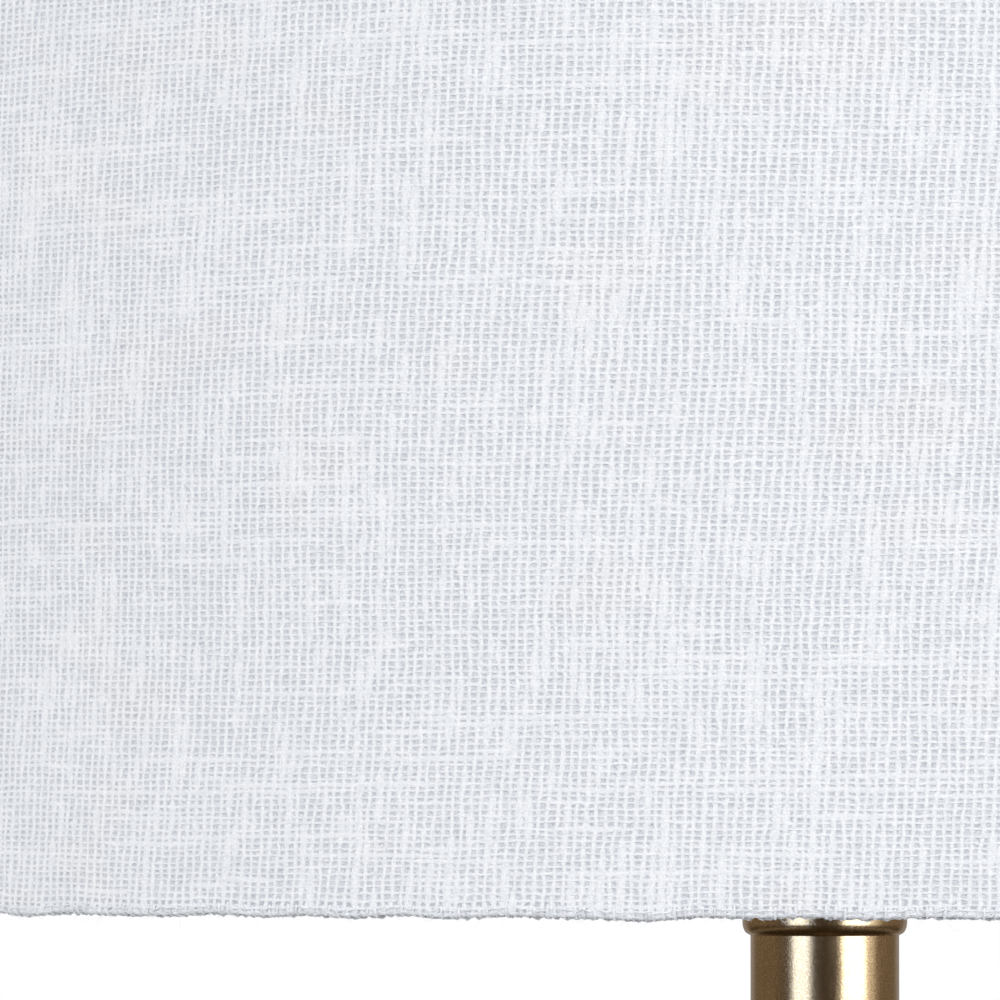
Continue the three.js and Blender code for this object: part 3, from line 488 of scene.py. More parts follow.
# The cloth's wall: an outline of (radius, height) that turns in over both edges in squarish half ovals,
# carried round the shade. Both edges waver up and down, and the wall swells in and out a little.
def shadeCloth():
    s = shade
    inner, t = foldInner, s["cloth"]
    line = np.linspace(-1, 1, 17)
    angle = pi / 2 * (1 + np.sign(line) * np.abs(line) ** s["square"])

    def fold(edge, side, inset):
        r, drop = foldPoint(angle, -inset)
        return np.stack([r, edge - side * drop], 1)

    bottom, top = hemEdge, s["top"] - s["topGap"]
    lowEnd, highEnd = bottom + s["turnIn"], top - s["turnIn"]
    outside = np.vstack([[[inner, lowEnd]], fold(bottom, -1, 0)[::-1], fold(top, 1, 0), [[inner, highEnd]]])
    inside = np.vstack([
        [[inner + t, highEnd]], fold(top, 1, t)[::-1], fold(bottom, -1, t), [[inner + t, lowEnd]]])
    profile = densified(np.vstack([outside, inside]), 9 * mm)
    a = np.linspace(-pi, pi, s["columns"], endpoint=False)[None, :]
    radius, z = profile[:, :1] + 0 * a, profile[:, 1:] + 0 * a
    lowShare = np.clip(1 - (z - bottom) / s["edgeBand"], 0, 1) ** 1.5
    highShare = np.clip(1 - (top - z) / s["edgeBand"], 0, 1) ** 1.5
    z = z + lowShare * edgeWave(a, lowSeed) + highShare * edgeWave(a, highSeed)
    share = np.clip((z - bottom) / (top - bottom), 0, 1)
    radius = radius + roundWave(a, 2, 22, 9, s["ripple"] / 2, swellSeed) * np.sin(pi * share)
    grid = np.stack([shadeAxis.x + radius * np.cos(a), radius * np.sin(a), z], -1)

    # thread counts: round the shade for u, along the outline for v, so that the weave turns with the fold
    steps = np.linalg.norm(np.diff(np.vstack([profile, profile[:1]]), axis=0), axis=1)
    along = np.concatenate([[0], np.cumsum(steps)])
    around = np.linspace(-pi, pi, s["columns"] + 1)
    uv = np.empty((len(along), len(around), 2))
    uv[..., 0] = around[None, :] * s["radius"] / weave["warpPitch"] + along[:, None] * weave["drift"]
    uv[..., 1] = along[:, None] / weave["weftPitch"] + weave["firstRow"]
    return surface("shadeCloth", grid, wrapRows=True, uv=uv, sharp=60)


cloth = place(shadeCloth(), "head", "linen", "shade_cover")
cloth.visible_glossy = False


# Many small tubes at once: along each line a circle, size * (cos b * across + sin b * other), and both its
# ends closed.
def smallTubes(name, line, across, other, size, sides):
    n, points = line.shape[:2]
    b = np.linspace(0, 2 * pi, sides, endpoint=False)[None, None, :, None]
    circle = np.cos(b) * across[:, :, None] + np.sin(b) * other[:, :, None]
    rings = line[:, :, None] + size[:, :, None] * circle
    r, c = np.arange(points - 1)[:, None] * sides, np.arange(sides)[None, :]
    d = (c + 1) % sides
    first = np.arange(n)[:, None, None] * points * sides
    quads = np.stack([r + c, r + d, r + sides + d, r + sides + c], -1).reshape(1, -1, 4) + first
    caps = c + first[:, :, 0]
    faces = quads.reshape(-1, 4).tolist() + caps[:, ::-1].tolist() + (caps + (points - 1) * sides).tolist()
    mesh = bpy.data.meshes.new(name)
    mesh.from_pydata(rings.reshape(-1, 3).tolist(), [], faces)
    return closed(name, mesh, 180)


def hemWave(a):
    return hemEdge + edgeWave(a, lowSeed)


warpEnd = {
    "radius": 0.17 * mm, "unlike": 0.40, "points": 10, "sides": 6, "aside": 0.2, "lead": (-0.75, -0.35),
    "turn": 0.45 * pi, "stray": 0.10 * mm, "proud": 0.05 * mm, "sink": 0.55 * mm, "climb": 1.2 * mm,
}


# Each warp thread rolls in over the edge: it leaves the cloth's face, and follows the fold's oval a little
# proud of it. Its section is a circle across that line.
def warpEnds():
    w = warpEnd
    n = int(2 * pi * shade["radius"] / weave["warpPitch"])

    def pick(low, high):
        return rng.uniform(low, high, (n, 1))

    t = np.concatenate([w["lead"], np.linspace(0, 1, w["points"] - 2) ** 2 * w["turn"]])[None, :]
    a = (np.arange(n)[:, None] + 0.5 + pick(-w["aside"], w["aside"])) / n * 2 * pi - pi
    a = a + pick(-1, 1) * w["stray"] * t / shade["radius"]
    tilt, sunk = np.maximum(t, 0), np.minimum(t, 0)
    r, z = foldPoint(tilt, w["proud"])
    r = r - w["sink"] * sunk ** 2 + pick(-0.06, 0.05) * mm
    z = hemWave(a) + z - w["climb"] * sunk + pick(-0.08, 0.06) * mm
    out = np.stack([np.cos(a), np.sin(a), 0 * a], -1)
    side = np.stack([-np.sin(a), np.cos(a), 0 * a], -1)
    normal = np.cos(tilt)[..., None] * out - np.sin(tilt)[..., None] * np.array([0, 0, 1.0])
    line = np.array([shadeAxis.x, 0, 0]) + r[..., None] * out + z[..., None] * np.array([0, 0, 1.0])
    size = w["radius"] * (1 + w["unlike"] * pick(-1, 1)) * (1 + 0.25 * rng.uniform(-1, 1, a.shape))
    return smallTubes("warpEnds", line, side, normal, size[..., None], w["sides"])


twine = {
    "lay": 1.5 * mm, "sides": 7, "columns": 5600, "lumps": 0.26 * 0.7, "stray": 0.07 * mm, "swell": 0.22,
    "weave": 0.11 * mm, "least": 0.35, "most": 1.9,
}


# The hem's edge yarns: circles that run round the shade a height over its edge. A section's radius swells
# twice round, r * (1 + swell * cos(2 b - turns)), and the swelling turns along it, as in two plies twisted
# together. Lumps thicken it, it strays, and it passes over and under the warp ends in turn.
def hemYarn(name, inset, height, radius, seed):
    w = twine
    a = np.linspace(-pi, pi, w["columns"], endpoint=False)[:, None]
    b = np.linspace(0, 2 * pi, w["sides"], endpoint=False)[None, :]
    turns = np.round(2 * pi * shade["radius"] / w["lay"]) * a
    lumps = roundWave(a, 300, 1900, 40, w["lumps"], seed) + roundWave(a, 60, 300, 20, w["lumps"], seed + 3)
    size = radius * (1 + w["swell"] * np.cos(2 * b - turns)) * np.clip(1 + lumps, w["least"], w["most"])
    under = w["weave"] * np.sin(a * int(2 * pi * shade["radius"] / weave["warpPitch"]) / 2 + seed)
    ring = foldOuter - inset + under + roundWave(a, 60, 900, 40, w["stray"], seed + 1)
    height = hemWave(a) + height + roundWave(a, 90, 900, 40, w["stray"], seed + 2)
    ring, height = ring + size * np.cos(b), height + size * np.sin(b)
    grid = np.stack([shadeAxis.x + ring * np.cos(a), ring * np.sin(a), height], -1)
    return surface(name, grid, wrapRows=True, sharp=180)


twineFinish = hemTwine("hemTwine", 0.74, 0.95)
fibreFinish = plainNoise(
    "linenFibre", (0.86, 0.875, 0.905), (0.93, 0.935, 0.95), 900, 0.9, 0.03 * mm, Sheen_Weight=0.2)
# painted shade: the inner hem yarn gets a darker twine, standing for the shade under the hem's edge
shadedTwineFinish = hemTwine("shadedTwine", 0.36, 0.66)
hemPieces = [place(warpEnds(), "head", "linen", finish=twineFinish)]
for name, inset, height, radius, seed, finish in (
        ("hemYarnOuter", -0.04 * mm, 0.92 * mm, 0.125 * mm, 21, twineFinish),
        ("hemYarnMiddle", 0.05 * mm, 0.36 * mm, 0.16 * mm, 31, twineFinish),
        ("hemYarnInner", 0.75 * mm, -0.02 * mm, 0.17 * mm, 41, shadedTwineFinish)):
    hemPieces.append(place(hemYarn(name, inset, height, radius, seed), "head", "linen", finish=finish))

fray = {
    "count": 3600, "radius": 0.032 * mm, "shortest": 0.25 * mm, "longest": 1.9 * mm, "sides": 3, "points": 7,
    "proud": 0.12 * mm, "curl": 0.30, "droop": 0.8, "taper": 0.6,
}


# Loose fibres under the edge: each one leaves the yarns, droops, and curls. Its line is
# start + length * (s * direction + curl * (cos, sin) of a turn that grows with s), and it tapers to its tip.
def frayedFibres():
    f, up = fray, np.array([0, 0, 1.0])

    def pick(low, high):
        return rng.uniform(low, high, (f["count"], 1, 1))

    s = np.linspace(0, 1, f["points"])[None, :, None]
    a, length = pick(-pi, pi), f["shortest"] + (f["longest"] - f["shortest"]) * pick(0, 1) ** 5
    outward = np.concatenate([np.cos(a), np.sin(a), 0 * a], -1)
    aside = np.concatenate([-np.sin(a), np.cos(a), 0 * a], -1)
    ring, height = foldPoint(pick(0.0, 0.9) ** 2, f["proud"])
    start = np.array([shadeAxis.x, 0, 0]) + ring * outward + (hemWave(a) + height) * up
    heading = pick(-1.0, 1.0) * aside + pick(-0.1, 0.5) * outward - pick(-0.15, 0.6) * up
    heading = heading / np.linalg.norm(heading, axis=-1, keepdims=True)
    swing, bend = pick(0, 2 * pi), pick(0.6, 4.5)
    curl = f["curl"] * (np.sin(swing + bend * s) - np.sin(swing))
    dip = f["curl"] * (np.cos(swing + bend * s) - np.cos(swing))
    line = start + length * (s * heading + curl * aside - abs(dip) * up * f["droop"])
    size = f["radius"] * (1 - f["taper"] * s) + 0 * a
    return smallTubes("frayedFibres", line, outward + 0 * line, up + 0 * line, size, f["sides"])


fibres = place(frayedFibres(), "head", "linen", finish=fibreFinish)
print("shade cloth, hem yarns and frayed fibres made")


linerWall = 0.8 * mm
frameWork = {
    "wire": 1.6 * mm, "spoke": 1.44 * mm, "level": 1.44 * mm, "bore": 19.8 * mm, "rim": 29.8 * mm,
    "half": 1 * mm, "bend": 12 * mm, "inRim": 2.5 * mm, "inRing": 0.3 * mm,
}


def linerShell():
    low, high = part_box("shade_liner")
    r, wall = (high.y - low.y) / 2, linerWall
    profile = rounded([(r - wall, low.z), (r, low.z), (r, high.z), (r - wall, high.z)], 0.25 * mm)
    return turned("linerShell", densified(profile, 12 * mm), straight(shadeAxis), 256)


def wireRing(name, height, radius, wire):
    b = np.linspace(0, 2 * pi, 16, endpoint=False)
    profile = np.stack([radius + wire * np.cos(b), height + wire * np.sin(b)], 1)
    return turned(name, profile, straight(shadeAxis), 240)


# A wire along a line of points in a vertical plane: at each point a circle across the line's direction.
def bentWire(name, line, wire, sides=14):
    line = np.asarray(line, float)
    along = np.gradient(line, axis=0)
    along = along / np.linalg.norm(along, axis=1, keepdims=True)
    flat = np.cross(along, [0, 0, 1.0])
    flat = flat[:1] / np.linalg.norm(flat[0]) + 0 * flat
    other = np.cross(along, flat)
    b = np.linspace(0, 2 * pi, sides, endpoint=False)[None, :, None]
    grid = line[:, None] + wire * (np.cos(b) * flat[:, None] + np.sin(b) * other[:, None])
    ends = [line[:1, None] + 0 * grid[:1], grid, line[-1:, None] + 0 * grid[-1:]]
    return surface(name, np.vstack(ends))


# The fitter ring, three spokes that run out flat and turn up in a quarter bend, and the upper wire ring.
def spider():
    w = frameWork
    low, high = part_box("shade_spider")
    wire, inner, outer, bend = w["wire"], w["bore"], w["rim"], w["bend"]
    ring, level = (high.y - low.y) / 2 - wire, low.z + w["level"]
    under, over = level - w["half"], level + w["half"]
    plate = [(inner, under), (outer, under), (outer, over), (inner, over)]
    fitter = turned("fitter", rounded(plate, 0.35 * mm), straight(shadeAxis), 96)
    topRing = wireRing("topRing", high.z - wire, ring, wire)
    pieces = [fitter, topRing]
    for degrees in (60, 180, 300):
        a = radians(degrees)
        leg = ring - w["inRing"]
        t = np.linspace(0, 1, 12)
        inwards = np.stack([np.linspace(outer - w["inRim"], leg - bend, 20), np.full(20, level)], 1)
        turn = np.stack([leg - bend * (1 - t) ** 2, level + bend * t ** 2], 1)
        legUp = np.stack([np.full(4, leg), np.linspace(level + bend, high.z - wire, 4)], 1)
        rz = np.vstack([inwards[:-1], turn, legUp[1:]])
        line = np.stack([shadeAxis.x + rz[:, 0] * cos(a), rz[:, 0] * sin(a), rz[:, 1]], 1)
        pieces.append(bentWire("spoke", line, w["spoke"]))
    return joinedPieces("spiderFrame", *pieces)


liner = place(linerShell(), "head", "shade_liner", "shade_liner")
liner.visible_glossy = False
ringLow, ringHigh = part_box("shade_ring_bottom")
ringRadius = (ringHigh.y - ringLow.y) / 2 - frameWork["wire"]
lowerRing = wireRing("lowerRing", (ringLow.z + ringHigh.z) / 2, ringRadius, frameWork["wire"])
place(lowerRing, "head", "white_wire", "shade_ring_bottom")
place(spider(), "head", "white_wire", "shade_spider")
print("liner, rings and spider made")


def span(node):
    low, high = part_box(node)
    return low.z, high.z, (high.y - low.y) / 2


poleAxis = straight((0, 0, 0))
tube = {"wall": 1.5 * mm, "ends": 0.35 * mm}


def uprightTube(node):
    wall = tube["wall"]
    bottom, top, r = span(node)
    profile = rounded([(r - wall, bottom), (r, bottom), (r, top), (r - wall, top)], tube["ends"])
    return turned(node + "Tube", densified(profile, 30 * mm), poleAxis, 160)


# A joint of two tubes: a spigot in both, and a rounded ring between their ends.
def jointRing(node, spigot, wall, half):
    bottom, top, proud = span(node)
    middle = (bottom + top) / 2
    corners = [(spigot - wall, bottom), (spigot, bottom), (spigot, middle - half), (proud, middle - half),
               (proud, middle + half), (spigot, middle + half), (spigot, top), (spigot - wall, top)]
    radii = np.array([0.3, 0.3, 0.1, 0.9, 0.9, 0.1, 0.3, 0.3]) * mm
    return turned(node + "Ring", rounded(corners, radii, 7), poleAxis, 160)


clamp = {
    "gap": 0.25 * mm, "bore": 1.45 * mm, "lip": 2.9 * mm, "root": 0.14 * mm, "shoulder": 2 * mm,
    "seat": 0.3 * mm, "screwHole": 3.25 * mm, "boss": 7 * mm,
}
lockAxis = straight((0, 0, joints["lock_turn"]["pos_m"][2]), (-1, 0, 0), (0, 1, 0))


# The collar's lip is a quarter of an oval, above a small hollow where it meets the pole.
def collar():
    c = clamp
    low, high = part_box("clamp_collar")
    _, poleTop, poleRadius = span("pole_upper")
    r, edge, seat = (high.y - low.y) / 2, c["shoulder"], poleTop + c["seat"]
    inner, passage = poleRadius + c["gap"], poleRadius - c["bore"]
    lip, root = c["lip"], low.z - c["root"]
    a = np.linspace(-pi / 2 + 0.3, 0, 18)
    roll = np.stack([inner + (r - inner) * np.cos(a), low.z + lip + lip * np.sin(a)], 1)
    t = np.linspace(0, 1, 7)[:, None]
    start, knee = np.array([inner + 0.06 * mm, root]), np.array([inner + 0.08 * mm, low.z + 0.02 * mm])
    hollow = (1 - t) ** 2 * start + 2 * t * (1 - t) * knee + t ** 2 * roll[0]
    up = np.linspace(0, pi / 2, 8)
    shoulder = np.stack([r - edge + edge * np.cos(up), high.z - edge + edge * np.sin(up)], 1)
    bore = [(passage, high.z), (passage, seat), (inner, seat)]
    profile = np.vstack([[(inner, root)], hollow[:-1], roll, shoulder, bore])
    ring = turned("collarRing", densified(profile, 8 * mm), poleAxis, 192)
    hole, boss, reach = c["screwHole"], c["boss"], -low.x
    corners = [(hole, r - mm), (boss, r - mm), (boss, reach), (hole, reach)]
    bossPiece = turned("collarBoss", rounded(corners, np.array([0.1, 0.1, 1, 0.4]) * mm), lockAxis, 64)
    return joinedPieces("clampCollar", ring, bossPiece)


# The radius dips between the ridges of a straight knurl, only between two distances along the axis.
def knurled(depth, count, low, high):
    def ripple(a, radius, along):
        inside = (along > low) & (along < high)
        return np.where(inside, -depth * (0.5 - 0.5 * np.cos(count * a)) ** 0.6, 0)
    return ripple


def lockKnob():
    low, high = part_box("lock_knob")
    start, end, r = -high.x, -low.x, (high.y - low.y) / 2
    corners = [(0, start), (r - 4 * mm, start), (r, start + 3 * mm), (r, end), (r - 5 * mm, end),
               (0, end - 0.8 * mm)]
    outline = rounded(corners, np.array([0, 0.5, 0.8, 1.4, 1.0, 0]) * mm, 6, loop=False)
    ripple = knurled(0.45 * mm, 36, start + 3.4 * mm, end - 1.6 * mm)
    profile = densified(outline, 0.7 * mm, loop=False)
    return turned("lockKnob", profile, lockAxis, 216, loop=False, ripple=ripple)


# The pole's foot draws in from its rim to the tube as a hollow quarter of an oval.
def poleFoot():
    bottom, top, r = span("pole_foot")
    inner = span("pole_lower")[2] + clamp["gap"]
    a = np.linspace(0, 1, 14)
    width, rise = r - inner - 2 * mm, top - bottom - 4.5 * mm
    flare = np.stack([r - width * np.sin(a * pi / 2), bottom + 2.5 * mm + rise * (1 - np.cos(a * pi / 2))], 1)
    profile = np.vstack([[(inner, bottom), (r - 0.5 * mm, bottom), (r, bottom + 0.5 * mm)], flare,
                         [(inner + 1.6 * mm, top - 0.4 * mm), (inner + 1.2 * mm, top), (inner, top)]])
    return turned("poleFoot", densified(profile, 4 * mm), poleAxis, 160)


cover = {"wall": 1.5 * mm, "edge": 10 * mm, "hole": 6.25 * mm}


def baseCover():
    bottom, top, r = span("base_cover")
    wall, edge, hole = cover["wall"], cover["edge"], cover["hole"]
    a = np.linspace(0, pi / 2, 14)
    outside = np.stack([r - edge + edge * np.cos(a), top - edge + edge * np.sin(a)], 1)
    inside = np.stack([r - edge + (edge - wall) * np.cos(a), top - edge + (edge - wall) * np.sin(a)], 1)[::-1]
    rim = [(r - wall, bottom), (r - 0.9 * mm, bottom), (r, bottom + 0.8 * mm)]
    profile = np.vstack([[(hole, top - wall)], inside, rim, outside, [(hole, top)]])
    return turned("baseCover", densified(profile, 6 * mm), poleAxis, 256)


button = {"skirt": 11 * mm, "peg": 3.4 * mm, "rim": 3.2 * mm, "dish": 0.9 * mm}


# The foot switch's button: a peg, a skirt and a top that is dished by dish * sin^2.
def switchButton():
    low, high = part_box("switch_button")
    r, x = (high.y - low.y) / 2, (low.x + high.x) / 2
    skirt, peg = high.z - button["skirt"], button["peg"]
    a = np.linspace(0, 1, 10)
    dish = np.stack([(r - button["rim"]) * (1 - a), high.z - button["dish"] * np.sin(a * pi / 2) ** 2], 1)
    profile = np.vstack([[(0, low.z), (peg, low.z), (peg, skirt), (r, skirt), (r, high.z - 2 * mm),
                          (r - 0.5 * mm, high.z - 0.8 * mm), (r - 1.6 * mm, high.z - 0.1 * mm)], dish])
    return turned("switchButton", densified(profile, 2 * mm, loop=False), straight((x, 0, 0)), 96, loop=False)


spring = {"wire": 0.55 * mm, "turns": 5, "travel": 3 * mm, "closed": 0.07}


# The return spring: a round wire along a helix that rises more slowly towards both of its ends, at height
# share t - closed * sin(2 pi t). It is drawn as it stands at rest, though on the switch it shortens as the button
# goes down.
def switchSpring():
    s = spring
    low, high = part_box("switch_spring")
    r, x = (high.y - low.y) / 2 - s["wire"], (low.x + high.x) / 2

    def helix(t):
        a = 2 * pi * s["turns"] * t
        share = t - s["closed"] * np.sin(2 * pi * t)
        z = low.z + s["wire"] + (high.z - low.z - 2 * s["wire"]) * share
        out = np.stack([np.cos(a), np.sin(a), 0 * a], -1)
        centre = np.stack([x + r * np.cos(a), r * np.sin(a), z], -1)
        return centre, out, np.broadcast_to([0, 0, 1.0], out.shape)

    along = np.linspace(0, 1, 241)
    profile = np.vstack([[(0, 0)], np.stack([s["wire"] + 0 * along, along], 1), [(0, 1)]])
    wire = turned("switchSpring", profile, helix, 10, loop=False)
    place(wire, "stand", "zinc_steel", "switch_spring")
    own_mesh(wire)
    return wire


def switchBezel():
    low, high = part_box("switch_bezel")
    outer, inner = (high.y - low.y) / 2, (high.y - low.y) / 2 - 4.5 * mm
    corners = [(inner, low.z), (outer, low.z), (outer - 1 * mm, high.z - 0.5 * mm), (inner + 1 * mm, high.z),
               (inner, high.z - 0.3 * mm)]
    return turned("switchBezel", rounded(corners, 0.6 * mm), straight(((low.x + high.x) / 2, 0, 0)), 128)


spigot = {"bore": 4.2 * mm, "plug": 1.75 * mm, "flange": 4 * mm, "peg": 9 * mm}


def mastSpigot():
    bottom, top, r = span("mast_spigot")
    flange = span("mast_tube")[1] + 0.3 * mm
    bore, plugged, peg, shelf = spigot["bore"], r - spigot["plug"], spigot["peg"], flange + spigot["flange"]
    corners = [(bore, bottom), (plugged, bottom), (plugged, flange), (r, flange), (r, shelf), (peg, shelf),
               (peg, top), (bore, top)]
    radii = np.array([0.3, 0.4, 0.1, 0.4, 0.9, 0.2, 0.6, 0.3]) * mm
    return turned("mastSpigot", rounded(corners, radii), poleAxis, 128)


def bush():
    bottom, top, r = span("collar_bush")
    inner, sleeve, brim = 14.3 * mm, 15.75 * mm, top - 1.7 * mm
    corners = [(inner, bottom), (sleeve, bottom), (sleeve, brim), (r, brim), (r - 0.6 * mm, top), (inner, top)]
    radii = np.array([0.3, 0.3, 0.1, 0.4, 0.6, 0.3]) * mm
    return turned("collarBush", rounded(corners, radii), poleAxis, 128)


for node in ("pole_lower", "pole_middle", "pole_upper"):
    place(uprightTube(node), "stand", "satin_brass", node)
for node in ("pole_joint_lower", "pole_joint_middle"):
    place(jointRing(node, 15.75 * mm, 2 * mm, 1.5 * mm), "stand", "satin_brass", node)
place(collar(), "stand", "satin_brass", "clamp_collar")
place(bush(), "stand", "black_plastic", "collar_bush")
place(poleFoot(), "stand", "satin_brass", "pole_foot")
place(baseCover(), "stand", "satin_brass", "base_cover")
place(switchBezel(), "stand", "satin_brass", "switch_bezel")
switchSpring()
place(switchButton(), "button", "black_plastic", "switch_button")
place(lockKnob(), "lock", "satin_brass", "lock_knob")
place(uprightTube("mast_tube"), "mast", "satin_brass", "mast_tube")
place(mastSpigot(), "mast", "satin_brass", "mast_spigot")
print("pole, mast and base made")


arc = {
    "break": radians(55), "end": radians(160), "drop": 24 * mm, "radius": 12.5 * mm, "wall": 1.5 * mm,
    "ring": 3 * mm, "proud": 0.7 * mm, "plug": 2.4 * mm, "plugWall": 2 * mm, "plugLength": 12 * mm,
}
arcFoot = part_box("arc_ferrule")[1].z
pivot = joints["head_tilt"]["pos_m"]


# Two circular arcs that share a tangent. Going from heading p to q on radius R moves R (cos p - cos q) along X
# and R (sin q - sin p) up, and both radii follow from where the tip has to be.
def arcRadii():
    p, q = arc["break"], arc["end"]
    tip = np.array([pivot[0] - arc["drop"] * sin(q), pivot[2] - arc["drop"] * cos(q) - arcFoot])
    moves = np.array([[1 - cos(p), cos(p) - cos(q)], [sin(p), sin(q) - sin(p)]])
    return np.linalg.solve(moves, tip)


rearRadius, frontRadius = arcRadii()


# The arc's own line as a bent axis: its distance is measured from the ferrule's top.
def arcAxis(t):
    p, first = arc["break"], arc["break"] * rearRadius
    heading = np.where(t < 0, 0, np.where(t < first, t / rearRadius, p + (t - first) / frontRadius))
    onRear, onFront = np.minimum(heading, p), np.maximum(heading, p)
    x = rearRadius * (1 - np.cos(onRear)) + frontRadius * (np.cos(p) - np.cos(onFront))
    z = arcFoot + np.minimum(t, 0) + rearRadius * np.sin(onRear) + frontRadius * (np.sin(onFront) - np.sin(p))
    centre = np.stack([x, 0 * x, z], -1)
    across = np.stack([np.cos(heading), 0 * x, -np.sin(heading)], -1)
    return centre, across, np.broadcast_to([0, 1.0, 0], across.shape)


firstLength = arc["break"] * rearRadius
wholeLength = firstLength + (arc["end"] - arc["break"]) * frontRadius


def arcTube(name, start, end):
    r, bore = arc["radius"], arc["radius"] - arc["wall"]
    profile = rounded([(bore, start), (r, start), (r, end), (bore, end)], 0.35 * mm)
    return turned(name, densified(profile, 7 * mm), arcAxis, 64)


def arcJoint():
    proud, plugged = arc["radius"] + arc["proud"], arc["radius"] - arc["plug"]
    near, far = firstLength - arc["ring"] / 2, firstLength + arc["ring"] / 2
    start, end, bore = near - arc["plugLength"], far + arc["plugLength"], plugged - arc["plugWall"]
    corners = [(bore, start), (plugged, start), (plugged, near), (proud, near), (proud, far), (plugged, far),
               (plugged, end), (bore, end)]
    radii = np.array([0.3, 0.3, 0.1, 0.8, 0.8, 0.1, 0.3, 0.3]) * mm
    return turned("arcJoint", rounded(corners, radii, 7), arcAxis, 96)


ferrule = {"bore": 9.3 * mm, "gap": 0.25 * mm, "foot": 8.7 * mm, "lip": 1.2 * mm}


def arcFerrule():
    bottom, top, r = span("arc_ferrule")
    inner, outer, foot = ferrule["bore"], arc["radius"] + ferrule["gap"], bottom + ferrule["foot"]
    lip = outer + ferrule["lip"]
    a = np.linspace(0, pi / 2, 10)
    shoulder = np.stack([lip + (r - lip) * np.cos(a), top - 9 * mm + 8 * mm * np.sin(a)], 1)
    rim = [(inner, bottom), (r - mm, bottom), (r - 0.3 * mm, bottom + 0.4 * mm), (r, bottom + 1.5 * mm)]
    profile = np.vstack([rim, shoulder,
                         [(outer + 0.9 * mm, top - 0.2 * mm), (outer, top), (outer, foot), (inner, foot)]])
    return turned("arcFerrule", densified(profile, 6 * mm), poleAxis, 128)


halfBreak = arc["ring"] / 2 + 0.3 * mm
rearStart = -(arcFoot - span("arc_ferrule")[0] - ferrule["foot"] - 0.3 * mm)
place(arcTube("arcRear", rearStart, firstLength - halfBreak), "arc", "satin_brass", "arc_rear")
place(arcTube("arcFront", firstLength + halfBreak, wholeLength), "arc", "satin_brass", "arc_front")
place(arcJoint(), "arc", "satin_brass", "arc_joint")
place(arcFerrule(), "arc", "satin_brass", "arc_ferrule")
print("arc made")


def headLathe(name, profile, sides=96, loop=True, ripple=None):
    return turned(name, profile, straight(shadeAxis), sides, loop, ripple)


# The radius dips once in each pitch along the axis and moves round with it, as a screw's thread does.
def threadDip(a, along, depth, pitch):
    return -depth * (0.5 - 0.5 * np.cos(along * 2 * pi / pitch - a))


def holderCap():
    bottom, top, r = span("holder_cap")
    crown, rise, wall, hole = 8 * mm, 12 * mm, 1 * mm, 5.25 * mm
    a = np.linspace(0, pi / 2, 14)
    outside = np.stack([crown + (r - crown) * np.cos(a), top - rise + rise * np.sin(a)], 1)
    inside = np.stack([crown + (r - wall - crown) * np.cos(a), top - rise + (rise - wall) * np.sin(a)], 1)
    rim, mouth = [(r - wall, bottom), (r, bottom)], [(hole, top), (hole, top - wall)]
    profile = np.vstack([rim, outside, mouth, inside[::-1]])
    return headLathe("holderCap", densified(profile, 5 * mm), 128)


def holderBody():
    bottom, top, r = span("holder_body")
    wall, bore, shelf = r - 2 * mm, 14.2 * mm, top - 17.7 * mm
    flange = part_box("shade_spider")[0].z + frameWork["level"] + 1.3 * mm
    seat = bore + 2 * mm
    corners = [(bore, bottom), (wall, bottom), (wall, flange), (r, flange), (r, flange + 3.4 * mm),
               (wall, flange + 4 * mm), (wall, top), (seat, top), (seat, shelf), (bore, shelf)]
    radii = np.array([0.4, 0.6, 0.1, 0.5, 0.6, 0.3, 0.5, 0.3, 0.1, 0.3]) * mm
    profile = densified(rounded(corners, radii), 1.2 * mm)

    def thread(a, radius, along):
        outside = (abs(radius - wall) < 0.02 * mm) & (along < flange - mm)
        return np.where(outside, threadDip(a, along, 0.35 * mm, 2.5 * mm), 0)

    return headLathe("holderBody", profile, 96, ripple=thread)


def shadeNut():
    bottom, top, r = span("shade_nut")
    inner, ring = r - 6.7 * mm, r - 3 * mm
    corners = [(inner, bottom), (ring - mm, bottom), (ring, bottom + 1.5 * mm), (ring, top - 2.5 * mm),
               (r, top - 1.5 * mm), (r, top), (inner, top)]
    profile = densified(rounded(corners, 0.4 * mm), 0.8 * mm)
    ripple = knurled(0.5 * mm, 24, bottom + 1.2 * mm, top - 2.6 * mm)

    def onRing(a, radius, along):
        return ripple(a, radius, along) * (radius > ring - 0.3 * mm)

    return headLathe("shadeNut", profile, 144, ripple=onRing)


bulb = {"ball": 30 * mm, "neck": 13 * mm, "glass": 1.2 * mm, "shoulder": radians(32)}


# The bulb: a ball, and a flank that leaves it along a cubic curve and ends upright at the neck.
def bulbGlass():
    r, neck, glass = bulb["ball"], bulb["neck"], bulb["glass"]
    bottom, top, _ = span("bulb_glass")
    a = np.linspace(-pi / 2, bulb["shoulder"], 22)
    ball = np.stack([r * np.cos(a), bottom + r + r * np.sin(a)], 1)
    t = np.linspace(0, 1, 10)[:, None]
    start, end = ball[-1], np.array([neck, top])
    away, mid = start + [-7 * mm, 10.5 * mm], np.array([neck + 0.6 * mm, top - 16 * mm])
    flank = (1 - t) ** 3 * start + 3 * t * (1 - t) ** 2 * away + 3 * t ** 2 * (1 - t) * mid + t ** 3 * end
    outside = np.vstack([ball, flank[1:]])
    inside = np.maximum(outside[::-1] - [[glass, 0]], [[0, bottom + glass]])
    return headLathe("bulbGlass", np.vstack([outside, inside]), 96, loop=False)


